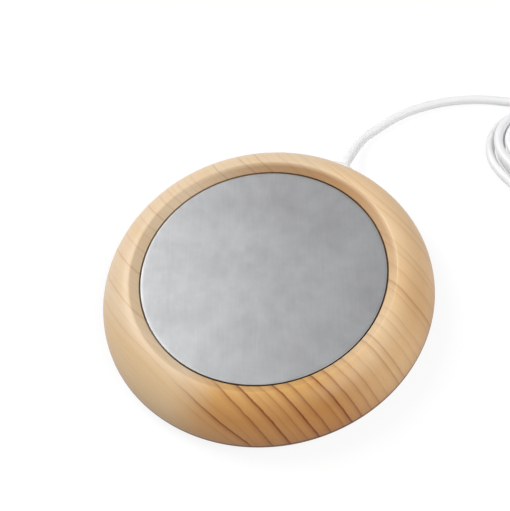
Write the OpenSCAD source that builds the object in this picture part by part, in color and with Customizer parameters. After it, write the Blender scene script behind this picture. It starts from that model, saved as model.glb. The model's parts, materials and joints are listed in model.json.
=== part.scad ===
// Electric mug warmer: a turned wooden ring round a heated metal plate, on a thin low-voltage lead.
// The warmer stands on z = 0 at the origin, and its lead leaves towards +Y.

/* [Ring] */
// Outer diameter of the ring
ring_d = 112; // [100:1:130]
// Height of the ring's crest above the table
ring_h = 20; // [18:0.5:26]
// Height of the ring's widest place
belly_z = 5.4; // [4.5:0.1:7]
// Fullness of the outer curve: 1 is a straight slope and 2 an ellipse
curve_power = 1.66; // [1.3:0.02:2.2]
// Width of the slope from the crest down to the plate
slope_w = 2.2; // [1.5:0.1:4]
// Depth of the slope
slope_drop = 1.9; // [1:0.1:3]
// Radius that takes the edge off the crest
crest_round = 0.5; // [0.2:0.1:1]
// Distance that the foot of the ring is drawn in under its widest place
foot_in = 7; // [5:0.5:9]
// Width of the wooden lip round the base cover
lip_w = 2; // [1.5:0.1:4]
// Width of the shoulder that the base cover is screwed to
shoulder_w = 6; // [5:0.1:8]

/* [Plate] */
// Diameter of the hot plate
plate_d = 81.6; // [74:0.2:90]
// Thickness of the hot plate
plate_t = 1.5; // [1:0.1:3]
// Gap round the hot plate
plate_gap = 0.7; // [0.3:0.1:1.5]
// Depth of the plate's face below the crest
plate_drop = 2; // [1:0.1:4]
// Rounding of the plate's upper edge
plate_edge = 0.3; // [0.1:0.1:0.6]
// Width of the ledge under the plate's rim
ledge_w = 4; // [3:0.1:6]
// Thickness of the ledge
ledge_t = 2.5; // [2:0.1:4]
// Number of studs on the plate
stud_n = 3; // [3:1:6]
// Distance from the ledge's inner edge in to the middle of a stud
stud_inset = 8.5; // [5:0.5:12]
// Radius of a stud
stud_r = 1.5; // [1:0.1:2]

/* [Heater] */
// Thickness of the gasket under the plate's rim
gasket_t = 0.5; // [0.3:0.1:1]
// Thickness of the heater film
film_t = 0.3; // [0.2:0.05:0.6]
// Width of the track on the film
track_w = 2.2; // [1.5:0.1:3]
// Thickness of the track
track_t = 0.1; // [0.05:0.05:0.2]
// Number of rings in the track
track_n = 4; // [3:1:5]
// Thickness of the clamp plate
clamp_t = 0.8; // [0.6:0.1:1.5]
// Thickness of a nut
nut_t = 2.4; // [1.6:0.1:3]
// Width of a nut across its flats
nut_af = 5.5; // [4:0.5:7]
// Radius of the thermal cut-out
cutout_r = 6.5; // [5:0.5:8]
// Height of the thermal cut-out
cutout_h = 4.6; // [4:0.1:5]

/* [Base] */
// Thickness of the base cover
cover_t = 2; // [1.6:0.1:3]
// Height that the feet stand out below the base
foot_out = 1.2; // [0.8:0.1:2.5]
// Radius of a foot
foot_r = 5; // [3:0.5:7]
// Radius of the circle that the feet lie on
foot_circle_r = 34; // [26:0.5:36]
// Number of feet
foot_n = 4; // [4:1:4]
// Number of screws in the base cover
base_screw_n = 4; // [4:1:8]
// Radius of a screw's shank
screw_r = 1.1; // [0.8:0.1:1.5]
// Radius of a screw's head
head_r = 2.1; // [1.6:0.1:2.6]

/* [Board] */
// Length of the circuit board
board_l = 34; // [28:1:40]
// Width of the circuit board
board_w = 22; // [18:1:26]
// Thickness of the circuit board
board_t = 1.6; // [1:0.2:2]
// Height of the posts under the board
post_h = 1.6; // [1:0.1:2.5]

/* [Lead] */
// Diameter of the cord
cord_d = 3.2; // [2.6:0.1:3.6]
// Height of the cord's exit above the table
exit_z = 5.8; // [5.4:0.1:8]
// Diameter of the strain relief's neck
neck_d = 4.6; // [4.2:0.1:5]
// Width of the strain relief's collar
collar_w = 9; // [7:0.5:12]
// Height of the collar
collar_h = 6; // [5:0.5:7]
// Distance that the collar stands out past the ring's widest place
collar_out = 1.2; // [0.6:0.1:4]
// Diameter of a core inside the cord
core_d = 1.2; // [0.8:0.1:1.3]

/* [Bundle] */
// Number of loops in the tied bundle, half of them in each layer
hank_loops = 4; // [4:2:8]
// Radius of the innermost turn at the bundle's ends
hank_inner_r = 9.6; // [9:0.2:12]
// Length of the bundle's runs between its ends
hank_run = 52; // [40:1:64]
// Distance that the runs are drawn in at the waist
hank_draw = 5; // [3:0.5:6]
// Clear gap between turns that lie side by side at the ends
turn_gap = 0.6; // [0.5:0.1:1.2]
// Thickness of the tie's strap
tie_t = 0.7; // [0.5:0.1:1]
// Width of the tie's strap
tie_w = 6; // [4:0.5:10]

/* [Switch] */
// Length of the switch's case
case_l = 34; // [30:1:40]
// Width of the switch's case
case_w = 14; // [13:0.5:18]
// Height of the switch's case
case_h = 11; // [11:0.5:14]
// Wall of the switch's case
case_wall = 1.4; // [1.2:0.1:2]
// Length of the rocker
rocker_l = 13.4; // [12:0.2:15]
// Width of the rocker
rocker_w = 7.6; // [6:0.2:9]
// Angle between the rocker's two places
rocker_swing = 20; // [16:1:22]
// Clearance all round the rocker
rocker_gap = 0.5; // [0.4:0.1:1]
// Radius of the rocker's pin
pin_r = 0.8; // [0.6:0.1:1]
// Running clearance between the pin and the rocker's bore
pin_play = 0.05; // [0.02:0.01:0.08]
// Length of a boot outside the case
boot_l = 7; // [5:0.5:12]

/* [Plug] */
// Length of the plug's grip
grip_l = 24; // [20:1:32]
// Width of the plug's grip
grip_w = 15.6; // [14:0.2:18]
// Thickness of the plug's grip
grip_h = 7.6; // [7:0.2:9]
// Length of the plug's boot
plug_boot_l = 10; // [8:1:16]
// Width of the metal shell
shell_w = 12; // [12:0.1:12]
// Height of the metal shell
shell_h = 4.5; // [4.5:0.1:4.5]
// Length of the metal shell outside the grip
shell_l = 18.8; // [18:0.1:19]
// Sheet thickness of the metal shell
shell_t = 0.3; // [0.3:0.05:0.4]

/* [Hidden] */
$fn = 96;

// Small allowances that pieces share
seat = 0.02;      // radial clearance of a piece that is held in its hole
slip = 0.2;       // clearance of a loose fit
cut = 0.5;        // how far a cutting shape runs past the face it opens

// The ring's outline
ring_r = ring_d / 2;
plate_r = plate_d / 2;
rebate_r = plate_r + plate_gap;
crest_r = rebate_r + slope_w;
base_z = foot_out;
foot_of_ring_r = ring_r - foot_in;
cover_seat_r = foot_of_ring_r - lip_w;
cavity_r = cover_seat_r - shoulder_w;
cover_top = base_z + cover_t;
ledge_r = rebate_r - ledge_w;
curve_steps = 14;
belly_steps = 7;

// The stack from the plate's face down
plate_top = ring_h - plate_drop;
plate_bottom = plate_top - plate_t;
ledge_top = plate_bottom - gasket_t;
ledge_bottom = ledge_top - ledge_t;
stack_r = ledge_r - slip;
film_bottom = plate_bottom - film_t;
track_bottom = film_bottom - track_t;
track_inner_r = 9;
track_step = 4;
track_link_w = 2;
pad_hole_r = cutout_r + 0.5;
clamp_bottom = ledge_bottom - clamp_t;
nut_bottom = clamp_bottom - nut_t;
stud_out = 0.6;
stud_hole_r = stud_r + slip;
stud_circle_r = ledge_r - stud_inset;
stud_first = -90;

// The cut-out and its strap
cutout_bottom = track_bottom - cutout_h;
leg_y = 4.2;
leg_l = 2;
leg_w = 3;
leg_t = 0.6;
strap_t = 0.5;
strap_w = 5;
strap_foot_l = 6;
rivet_x = pad_hole_r + 3;
rivet_r = 0.8;
rivet_head_r = 1.5;
rivet_head_t = 0.6;

// The base and what stands on it
foot_sunk = 0.6;
foot_bevel = 0.3;
board_z = cover_top + post_h;
board_face = board_z + board_t;
board_y = -6;
board_hole_x = board_l / 2 - 3;
board_hole_y = board_w / 2 - 3;
post_r = 2.2;
base_screw_circle_r = cavity_r + shoulder_w / 2;
base_screw_l = 6.7;
base_screw_first = 45;
head_t = 1.2;
slot_w = 0.6;
slot_depth = 0.4;
clamp_y = 31;
clamp_bar_l = 18;
clamp_bar_w = 5;
clamp_bar_t = 2;
clamp_hole_x = 6;
clamp_post_h = 1.8;

// The cord's exit
cord_r = cord_d / 2;
core_r = core_d / 2;
core_side = core_r + 0.15;
neck_r = neck_d / 2;
collar_face_y = ring_r + collar_out;
collar_seat_y = ring_r - 1.2;
inner_flange_t = 1;
inner_flange_out = 0.3;
neck_start_y = cavity_r - slip;
clamp_top = exit_z + cord_r + clamp_bar_t;
cord_cut_y = clamp_y - clamp_bar_w / 2 - 2;

// The wires inside the case
pad_y = board_y + board_w / 2 - 2;
pad_x = 3.6;
film_pad_x = 9.5;
wire_hole_r = 2;
wire_hole_x = 13;
wire_hole_y = 17;
leg_wire_y = leg_y + 2 * core_r;
low_wire_z = cutout_bottom - 2.1;

// The bundle: two layers, spiralling in below and out again above.
// Everything on the lead is placed from the back of the ring.
cord_pitch = cord_d + turn_gap;
layer_z = [cord_r + tie_t + 0.1, cord_r + tie_t + 0.1 + cord_pitch];
layer_turns = hank_loops / 2;
turn_back = layer_turns + 0.25;
hank_outer_r = hank_inner_r + turn_back * cord_pitch;
hank_tip = [43.7, 49.8];
hank_angle = -38;
hank_along = [cos(hank_angle), sin(hank_angle)];
hank_middle = hank_tip + hank_along * (hank_outer_r + hank_run / 2);
ring_steps = 24;
cap_steps = 8;
run_steps = 4;

// The switch and the plug, where they lie
switch_place = [95.5, 41];
switch_angle = hank_angle;
switch_axis_z = case_h / 2;
plug_place = [103, -37.4];
plug_angle = -75;
plug_axis_z = grip_h / 2;

// The cord's free stretches. Each point has the height of the cord's underside above the table.
lead_route = [
    [0, 3.5, 4.1], [-0.2, 6.5, 3.4], [-0.6, 10, 2.2], [-0.9, 14, 1], [-0.7, 17.5, 0.3],
    [0.3, 21, 0], [2.2, 25, 0], [4.2, 29, 0], [6.5, 32.8, 0], [9.2, 36.4, 0],
    [12.4, 39.8, 0], [16.4, 43.3, 0], [20.8, 46.5, 0], [25.6, 49.2, 0],
    [30.6, 51.5, 0], [35.8, 53.2, 0], [41, 54.6, 0], [46.5, 56, 0],
    [52, 57.6, 0], [57.5, 59, 0.1], [63, 59.8, 0.7], [68.5, 59.4, 2.2]
];
link_route = [
    [119.6, 21.4, 3.1], [121.8, 17.6, 2], [122.6, 13, 1.2], [121.8, 8, 0.8], [119.8, 3.8, 0.8]
];
tail_route = [
    [107, -9.8, 4.5], [104, -14, 3.7], [101.8, -18.5, 2.7], [100.8, -23, 2], [100.8, -27.5, 1.7],
    [101.4, -31.4, 2]
];
straight_end = cord_d;

// Inside the switch, in its own frame
case_corner_r = 3;
window_l = rocker_l + 2 * rocker_gap + 0.6;
window_w = rocker_w + 2 * rocker_gap;
window_corner_r = 0.6;
pivot_z = case_h - 2.4;
pin_l = case_w - 2 * case_wall + 1.4;
neck_hole_r = 2.6;
boot_flange_t = 1.2;
case_screw_x = case_l / 2 - 4.6;
case_screw_y = 4;
case_post_r = 2;
case_screw_r = 0.9;
case_screw_head_r = 1.4;
case_screw_head_t = 1;
half_swing = rocker_swing / 2;
stem_depth = 3.2;
bridge_t = 0.4;
bridge_w = 5.4;
bridge_back = 1.2;
bridge_reach = 5.2;
contact_play = 0.05;
bridge_low = (stem_depth + bridge_t) * cos(half_swing) + bridge_reach * sin(half_swing);
contact_top = pivot_z - bridge_low - contact_play;
contact_x = 3.7;
contact_y = 1.9;
contact_w = 1.4;
contact_l = 0.8;
strip_t = 0.6;
strip_top = case_wall + strip_t;
near_tail_x = -6;
far_tail_x = 8.4;
stop_x = 5.9;
stop_w = 0.8;
stop_h = 0.8;
wing_low_z = 0.4;
wing_low = pivot_z - rocker_l / 2 * sin(half_swing) + wing_low_z * cos(half_swing);
stop_top = wing_low - 0.23;
case_core_x = case_l / 2 - case_wall - boot_flange_t;

// The plug's metal end, in the plug's own frame
shell_start = plug_boot_l + grip_l;
tongue_l = 17.6;
tongue_t = 1.85;
tongue_w = shell_w - 2 * shell_t - 0.7;
tongue_root_l = 5;
tongue_bottom = -shell_h / 2 + shell_t;
contact_strip_h = 0.15;

function turned(p, a) = [p[0] * cos(a) - p[1] * sin(a), p[0] * sin(a) + p[1] * cos(a)];
function raised(p, z) = [p[0], p[1], z];
function unit(v) = v / norm(v);
function smooth(t) = t * t * (3 - 2 * t);
function clamped(t) = min(1, max(0, t));

function above_table(route) = [for (p = route) p + [0, 0, cord_r]];
function switch_point(x, z) = raised(switch_place + turned([x, 0], switch_angle), z);
function plug_point(x, z) = raised(plug_place + turned([x, 0], plug_angle), z);

lead_end = switch_point(-case_l / 2 - boot_l, switch_axis_z);
link_start = switch_point(case_l / 2 + boot_l, switch_axis_z);
tail_end = plug_point(0, plug_axis_z);

// Bundle: radius, height and place of a turn's centreline after t turns
function hank_r(t) = hank_outer_r - cord_pitch * (t < turn_back ? t : 2 * turn_back - t);
function hank_climb(t) = smooth(clamped((t - turn_back) * ring_steps / run_steps + 0.5));
function hank_z(t) = layer_z[0] + (layer_z[1] - layer_z[0]) * hank_climb(t);
function run_place(x, r) = r - hank_draw * pow(cos(180 * x / hank_run), 2);
function cap_point(side, r, a) = [side * hank_run / 2 + r * cos(a), r * sin(a)];
function front_run(s, r) = [hank_run * (0.5 - s), -run_place(hank_run * (0.5 - s), r)];
function back_run(s, r) = [hank_run * (s - 0.5), run_place(hank_run * (s - 0.5), r)];
function loop_point(k, r) =
    k <= 4 ? cap_point(1, r, -k * 180 / cap_steps)
    : k <= 8 ? front_run((k - 4) / run_steps, r)
    : k <= 16 ? cap_point(-1, r, -90 - (k - 8) * 180 / cap_steps)
    : k <= 20 ? back_run((k - 16) / run_steps, r)
    : cap_point(1, r, 90 - (k - 20) * 180 / cap_steps);
function hank_point(i) =
    let (t = i / ring_steps, flat = loop_point(i % ring_steps, hank_r(t)))
    raised(hank_middle + turned(flat, hank_angle), hank_z(t));
hank_heading = raised(turned([0, -1], hank_angle), 0);
hank_steps = hank_loops * ring_steps;
hank_in = hank_point(0) - hank_heading * straight_end;
hank_out = hank_point(hank_steps) + hank_heading * straight_end;
hank_path = concat([hank_in], [for (i = [0 : hank_steps]) hank_point(i)], [hank_out]);

// The least gap between points of the bundle that are over half a loop apart along it
function point_gap(i, j) = norm(hank_path[i] - hank_path[j]) - cord_d;
hank_gap = min([
    for (i = [0 : len(hank_path) - 1], j = [i + ring_steps / 2 : len(hank_path) - 1]) point_gap(i, j)
]);
echo("least gap between the bundle's turns, mm", hank_gap);

// A tube along a list of points, with a ring of corners at each. The rings don't twist: each takes
// its first direction from the ring before it.
function path_way(path, i) = unit(path[min(i + 1, len(path) - 1)] - path[max(i - 1, 0)]);
function square_to(v, way) = unit(v - way * (v * way));
function first_side(way) = square_to(abs(way[2]) < 0.9 ? cross(way, [0, 0, 1]) : [1, 0, 0], way);
function path_sides(path) = [
    for (
        i = 0, side = first_side(path_way(path, 0));
        i < len(path);
        i = i + 1, side = square_to(side, path_way(path, min(i, len(path) - 1)))
    )
        side
];
module tube(path, d, sides) {
    n = len(path);
    firsts = path_sides(path);
    corners = [
        for (i = [0 : n - 1], k = [0 : sides - 1])
            let (
                a = (k + 0.5) * 360 / sides,
                second = cross(firsts[i], path_way(path, i))
            )
            path[i] + d / 2 * (cos(a) * firsts[i] + sin(a) * second)
    ];
    walls = [
        for (i = [0 : n - 2], k = [0 : sides - 1])
            let (
                a = i * sides + k,
                b = i * sides + (k + 1) % sides
            )
            each [[a, a + sides, b], [b, a + sides, b + sides]]
    ];
    last = (n - 1) * sides;
    near_end = [for (k = [1 : sides - 2]) [0, k, k + 1]];
    far_end = [for (k = [1 : sides - 2]) [last, last + k + 1, last + k]];
    polyhedron(corners, concat(walls, near_end, far_end));
}

// Flat and solid shapes that several pieces use
module behind_ring() {
    translate([0, ring_r, 0])
        children();
}
module rounded_plan(l, w, r) {
    square([l - 2 * r, w], center = true);
    square([l, w - 2 * r], center = true);
    for (x = [-1, 1], y = [-1, 1])
        translate([x * (l / 2 - r), y * (w / 2 - r)])
            circle(r);
}
module disc(r, bottom, top) {
    translate([0, 0, bottom])
        cylinder(r = r, h = top - bottom);
}
module round_about(n, r, first = 0) {
    for (i = [0 : n - 1])
        rotate([0, 0, first + i * 360 / n])
            translate([r, 0, 0])
                children();
}
module along_y(r, from, to, z) {
    translate([0, from, z])
        rotate([-90, 0, 0])
            cylinder(r = r, h = to - from);
}
module screw(l) {
    disc(head_r, -head_t, 0);
    disc(screw_r, 0, l);
}
module cross_slot() {
    translate([0, 0, -head_t - cut])
        linear_extrude(cut + slot_depth)
            for (a = [0, 90])
                rotate(a)
                    square([head_r, slot_w], center = true);
}
module slotted_screw(l) {
    difference() {
        screw(l);
        cross_slot();
    }
}

// Ring
function top_curve() = [
    for (i = [0 : curve_steps])
        let (a = i * 90 / curve_steps)
        [
            crest_r + crest_round + (ring_r - crest_r - crest_round) * pow(cos(a), 2 / curve_power),
            belly_z + (ring_h - belly_z) * pow(sin(a), 2 / curve_power)
        ]
];
function belly_curve() = [
    for (i = [0 : belly_steps - 1])
        let (a = i * 90 / belly_steps)
        [foot_of_ring_r + foot_in * sin(a), belly_z - (belly_z - base_z) * cos(a)]
];
function crest_curve() = [
    for (a = [110 : 20 : 150])
        [crest_r + crest_round + crest_round * cos(a), ring_h - crest_round + crest_round * sin(a)]
];
module ring_section() {
    polygon(concat(
        belly_curve(),
        top_curve(),
        crest_curve(),
        [
            [rebate_r, ring_h - slope_drop],
            [rebate_r, ledge_top],
            [ledge_r, ledge_top],
            [ledge_r, ledge_bottom],
            [cavity_r, ledge_bottom],
            [cavity_r, cover_top],
            [cover_seat_r, cover_top],
            [cover_seat_r, base_z]
        ]
    ));
}
module collar_plan(extra) {
    translate([0, exit_z])
        rounded_plan(collar_w + 2 * extra, collar_h + 2 * extra, collar_h / 2 + extra - 0.01);
}
module wood_ring() {
    color("burlywood")
        difference() {
            rotate_extrude($fn = 180)
                ring_section();
            along_y(neck_r + seat, cavity_r - cut, ring_r, exit_z);
            translate([0, ring_r + 1, 0])
                rotate([90, 0, 0])
                    linear_extrude(ring_r + 1 - collar_seat_y)
                        collar_plan(seat);
            round_about(base_screw_n, base_screw_circle_r, base_screw_first)
                disc(screw_r + seat, cover_top - cut, base_z + head_t + base_screw_l + 0.3);
        }
}

// Plate and heater
module hot_plate() {
    color("silver") {
        rotate_extrude($fn = 180)
            polygon([
                [0, plate_bottom],
                [plate_r, plate_bottom],
                [plate_r, plate_top - plate_edge],
                [plate_r - plate_edge, plate_top],
                [0, plate_top]
            ]);
        round_about(stud_n, stud_circle_r, stud_first)
            disc(stud_r, nut_bottom - stud_out, plate_bottom);
    }
}
module plate_gasket() {
    color("dimgray")
        difference() {
            disc(plate_r - 0.4, ledge_top, plate_bottom);
            disc(ledge_r + 0.3, ledge_top - cut, plate_bottom + cut);
        }
}
module stack_holes(bottom, top) {
    round_about(stud_n, stud_circle_r, stud_first)
        disc(stud_hole_r, bottom - cut, top + cut);
}
module wire_holes(bottom, top) {
    for (side = [-1, 1])
        translate([side * wire_hole_x, wire_hole_y, 0])
            disc(wire_hole_r, bottom - cut, top + cut);
}
module heater_film() {
    color("darkgoldenrod")
        difference() {
            disc(stack_r, film_bottom, plate_bottom);
            stack_holes(film_bottom, plate_bottom);
        }
}
// The track's rings are each cut open on one side, and linked to the next beside the cut
module heater_track() {
    color("peru") {
        for (i = [0 : track_n - 1])
            difference() {
                disc(track_inner_r + i * track_step + track_w, track_bottom, film_bottom);
                disc(track_inner_r + i * track_step, track_bottom - cut, film_bottom + cut);
                translate([-track_link_w / 2, i % 2 == 0 ? 0 : -stack_r, track_bottom - cut])
                    cube([track_link_w, stack_r, 1]);
            }
        for (i = [0 : track_n - 2], side = [-1, 1])
            let (
                way = i % 2 == 0 ? 1 : -1,
                middle = track_inner_r + i * track_step + (track_step + track_w) / 2
            )
            translate([side * track_link_w, way * middle, (track_bottom + film_bottom) / 2])
                cube([track_link_w, track_step, track_t], center = true);
    }
}
module insulation_pad() {
    color("whitesmoke")
        difference() {
            disc(stack_r, ledge_bottom, track_bottom);
            disc(pad_hole_r, ledge_bottom - cut, film_bottom + cut);
            stack_holes(ledge_bottom, film_bottom);
            wire_holes(ledge_bottom, film_bottom);
        }
}
module clamp_plate() {
    color("lightslategray")
        difference() {
            disc(cavity_r - 0.5, clamp_bottom, ledge_bottom);
            disc(pad_hole_r, clamp_bottom - cut, ledge_bottom + cut);
            stack_holes(clamp_bottom, ledge_bottom);
            wire_holes(clamp_bottom, ledge_bottom);
            for (side = [-1, 1])
                translate([side * rivet_x, 0, 0])
                    disc(rivet_r + seat, clamp_bottom - cut, ledge_bottom + cut);
        }
}
module plate_nuts() {
    color("gainsboro")
        round_about(stud_n, stud_circle_r, stud_first)
            difference() {
                translate([0, 0, nut_bottom])
                    cylinder(r = nut_af / sqrt(3), h = nut_t, $fn = 6);
                disc(stud_r + seat, nut_bottom - cut, clamp_bottom + cut);
            }
}
module thermal_cutout() {
    color("ivory") {
        disc(cutout_r, cutout_bottom, track_bottom);
        for (side = [-1, 1])
            translate([-leg_w / 2, side * leg_y - leg_t / 2, cutout_bottom - leg_l])
                cube([leg_w, leg_t, leg_l]);
    }
}
module cutout_strap() {
    strap_bottom = cutout_bottom - strap_t;
    color("silver")
        difference() {
            union() {
                translate([-pad_hole_r - strap_t, -strap_w / 2, strap_bottom])
                    cube([2 * pad_hole_r + 2 * strap_t, strap_w, strap_t]);
                for (side = [0, 1])
                    mirror([side, 0, 0]) {
                        translate([pad_hole_r, -strap_w / 2, strap_bottom])
                            cube([strap_t, strap_w, clamp_bottom - strap_bottom]);
                        translate([pad_hole_r, -strap_w / 2, clamp_bottom - strap_t])
                            cube([strap_foot_l, strap_w, strap_t]);
                    }
            }
            for (side = [-1, 1])
                translate([side * rivet_x, 0, 0])
                    disc(rivet_r + seat, clamp_bottom - strap_t - cut, clamp_bottom + cut);
        }
}
module cutout_rivets() {
    rivet_seat = clamp_bottom - strap_t;
    color("silver")
        for (side = [-1, 1])
            translate([side * rivet_x, 0, 0]) {
                disc(rivet_r, rivet_seat, ledge_bottom);
                disc(rivet_head_r, rivet_seat - rivet_head_t, rivet_seat);
            }
}

// Board and wiring
module board_corners() {
    for (side = [-1, 1])
        translate([side * board_hole_x, board_y - side * board_hole_y, 0])
            children();
}
module circuit_board() {
    color("seagreen")
        difference() {
            translate([0, board_y, board_z])
                linear_extrude(board_t)
                    rounded_plan(board_l, board_w, 1);
            board_corners()
                disc(screw_r + slip, board_z - cut, board_z + board_t + cut);
        }
}
module box_on_board(place, size) {
    translate([place[0], board_y + place[1], board_face])
        cube(size);
}
module board_parts() {
    color("dimgray") {
        box_on_board([-3, -3.5], [6, 5, 1.5]);
        for (x = [-9, 7])
            box_on_board([x, -1], [3.2, 1.6, 0.8]);
        box_on_board([-11, 4], [5, 3, 1.8]);
        for (x = [6, 11])
            translate([x, board_y + 5, 0])
                disc(1.6, board_face, board_face + 2.2);
    }
}
module board_screws() {
    color("silver")
        board_corners()
            translate([0, 0, board_face])
                mirror([0, 0, 1])
                    slotted_screw(board_t + post_h);
}
module heater_wires() {
    film_wire = [
        [-film_pad_x, pad_y, board_face], [-film_pad_x, pad_y, board_face + 1.2],
        [-film_pad_x - 0.4, pad_y + 1.6, board_face + 2], [-11.2, pad_y + 7, board_face + 2.6],
        [-wire_hole_x, wire_hole_y - 0.8, board_face + 3.8],
        [-wire_hole_x, wire_hole_y, clamp_bottom], [-wire_hole_x, wire_hole_y, track_bottom]
    ];
    cutout_wire = [
        [0, pad_y, board_face], [0, pad_y, board_face + 1.2], [0, pad_y + 1, board_face + 2],
        [0, leg_wire_y, cutout_bottom - 2.2], [0, leg_wire_y, cutout_bottom]
    ];
    back_wire = [
        [0, -leg_wire_y, cutout_bottom], [0, -leg_wire_y, cutout_bottom - 1.2],
        [2.6, -leg_wire_y - 1.2, low_wire_z], [9, -4, low_wire_z], [12.4, 4, low_wire_z],
        [wire_hole_x, wire_hole_y - 5, low_wire_z + 0.3],
        [wire_hole_x, wire_hole_y - 0.6, clamp_bottom - 1.6],
        [wire_hole_x, wire_hole_y, clamp_bottom], [wire_hole_x, wire_hole_y, track_bottom]
    ];
    color("crimson")
        for (wire = [film_wire, cutout_wire, back_wire])
            tube(wire, core_d, 8);
}
module cord_cores() {
    color("firebrick")
        for (side = [-1, 1])
            tube([
                [side * core_side, cord_cut_y, exit_z], [side * core_side, cord_cut_y - core_d, exit_z],
                [side * 2, cord_cut_y - 8, exit_z + 0.9], [side * 3.4, pad_y + 6, board_face + 2.2],
                [side * pad_x, pad_y + 1.4, board_face + 2], [side * pad_x, pad_y, board_face + 1.2],
                [side * pad_x, pad_y, board_face]
            ], core_d, 8);
}
module cord_inner() {
    color("white")
        along_y(cord_r, cord_cut_y, ring_r, exit_z);
}
module clamp_holes(r, bottom, top) {
    for (side = [-1, 1])
        translate([side * clamp_hole_x, clamp_y, 0])
            disc(r, bottom, top);
}
module cable_clamp() {
    clamp_bottom_z = cover_top + clamp_post_h;
    color("gainsboro")
        difference() {
            translate([0, clamp_y, clamp_bottom_z])
                linear_extrude(clamp_top - clamp_bottom_z)
                    rounded_plan(clamp_bar_l, clamp_bar_w, 1);
            along_y(cord_r + seat, clamp_y - clamp_bar_w, clamp_y + clamp_bar_w, exit_z);
            translate([-cord_r - seat, clamp_y - clamp_bar_w, cover_top])
                cube([cord_d + 2 * seat, 2 * clamp_bar_w, exit_z - cover_top]);
            clamp_holes(screw_r + slip, cover_top, clamp_top + cut);
        }
}
module clamp_screws() {
    color("silver")
        for (side = [-1, 1])
            translate([side * clamp_hole_x, clamp_y, clamp_top])
                mirror([0, 0, 1])
                    slotted_screw(clamp_top - cover_top);
}

// Base
module base_cover() {
    color("tan")
        difference() {
            union() {
                disc(cover_seat_r - slip, base_z, cover_top);
                board_corners()
                    disc(post_r, cover_top - 0.1, board_z);
                clamp_holes(post_r, cover_top - 0.1, cover_top + clamp_post_h);
            }
            round_about(foot_n, foot_circle_r)
                disc(foot_r + slip, base_z - cut, base_z + foot_sunk);
            round_about(base_screw_n, base_screw_circle_r, base_screw_first) {
                disc(screw_r + slip, base_z - cut, cover_top + cut);
                disc(head_r + slip, base_z - cut, base_z + head_t);
            }
            board_corners()
                disc(screw_r + seat, cover_top, board_z + cut);
            clamp_holes(screw_r + seat, cover_top, cover_top + clamp_post_h + cut);
        }
}
module base_screws() {
    color("silver")
        round_about(base_screw_n, base_screw_circle_r, base_screw_first)
            translate([0, 0, base_z + head_t])
                slotted_screw(base_screw_l);
}
module foot(i) {
    rotate([0, 0, (i - 1) * 360 / foot_n])
        translate([foot_circle_r, 0, 0]) {
            cylinder(r1 = foot_r - foot_bevel, r2 = foot_r, h = foot_bevel);
            disc(foot_r, foot_bevel, foot_out + foot_sunk);
        }
}
module foot_1() { color("darkgray") foot(1); }
module foot_2() { color("darkgray") foot(2); }
module foot_3() { color("darkgray") foot(3); }
module foot_4() { color("darkgray") foot(4); }

// Strain relief and the cord that lies free
module strain_relief() {
    color("white")
        difference() {
            union() {
                translate([0, collar_face_y, 0])
                    rotate([90, 0, 0])
                        linear_extrude(collar_face_y - collar_seat_y)
                            collar_plan(0);
                along_y(neck_r, neck_start_y, collar_seat_y + 0.1, exit_z);
                along_y(neck_r + inner_flange_out, neck_start_y - inner_flange_t, neck_start_y, exit_z);
            }
            along_y(cord_r + seat, neck_start_y - inner_flange_t - cut, collar_face_y + cut, exit_z);
        }
}
module cord_lead() {
    color("white")
        behind_ring()
            tube(concat(
                [[0, 0, exit_z], [0, collar_out + 1.2, exit_z]],
                above_table(lead_route),
                [switch_point(-case_l / 2 - boot_l - straight_end, switch_axis_z), lead_end]
            ), cord_d, 8);
}
module cord_link() {
    color("white")
        behind_ring()
            tube(concat(
                [link_start, switch_point(case_l / 2 + boot_l + straight_end, switch_axis_z)],
                above_table(link_route),
                [hank_in - hank_heading * straight_end, hank_in]
            ), cord_d, 8);
}
module cord_hank() {
    color("white")
        behind_ring()
            tube(hank_path, cord_d, 6);
}
module cord_tail() {
    color("white")
        behind_ring()
            tube(concat(
                [hank_out, hank_out + hank_heading * 1.5],
                above_table(tail_route),
                [plug_point(-straight_end, plug_axis_z), tail_end]
            ), cord_d, 8);
}
module hank_tie() {
    flare = hank_draw * tie_w / hank_run;
    front = hank_r(0.25) - hank_draw + cord_r + flare + slip;
    back = hank_r(0.75) - hank_draw + cord_r + flare + slip;
    inner_h = layer_z[1] - layer_z[0] + cord_d + 0.1 + slip;
    color("gray")
        translate([hank_middle[0], ring_r + hank_middle[1], 0])
            rotate([0, 0, hank_angle])
                translate([tie_w / 2, (back - front) / 2, tie_t + inner_h / 2])
                    rotate([90, 0, -90])
                        linear_extrude(tie_w)
                            difference() {
                                rounded_plan(front + back + 2 * tie_t, inner_h + 2 * tie_t, 2.2);
                                rounded_plan(front + back, inner_h, 1.5);
                            }
}

// In-line switch, in its own frame with X along the cord
module at_switch() {
    translate([switch_place[0], ring_r + switch_place[1], 0])
        rotate([0, 0, switch_angle])
            children();
}
module along_x(r, from, to, z) {
    translate([from, 0, z])
        rotate([0, 90, 0])
            cylinder(r = r, h = to - from);
}
module case_neck_holes() {
    for (side = [0, 1])
        mirror([side, 0, 0])
            along_x(neck_hole_r, case_l / 2 - case_wall - cut, case_l / 2 + cut, switch_axis_z);
}
module case_posts() {
    for (side = [-1, 1])
        translate([side * case_screw_x, side * case_screw_y, 0])
            children();
}
module case_half(bottom, top, floor_bottom, floor_top) {
    difference() {
        translate([0, 0, bottom])
            linear_extrude(top - bottom)
                rounded_plan(case_l, case_w, case_corner_r);
        difference() {
            translate([0, 0, bottom - cut])
                linear_extrude(top - bottom + 2 * cut)
                    rounded_plan(
                        case_l - 2 * case_wall,
                        case_w - 2 * case_wall,
                        case_corner_r - case_wall
                    );
            translate([-case_l, -case_w, floor_bottom])
                cube([2 * case_l, 2 * case_w, floor_top - floor_bottom]);
        }
    }
}
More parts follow.
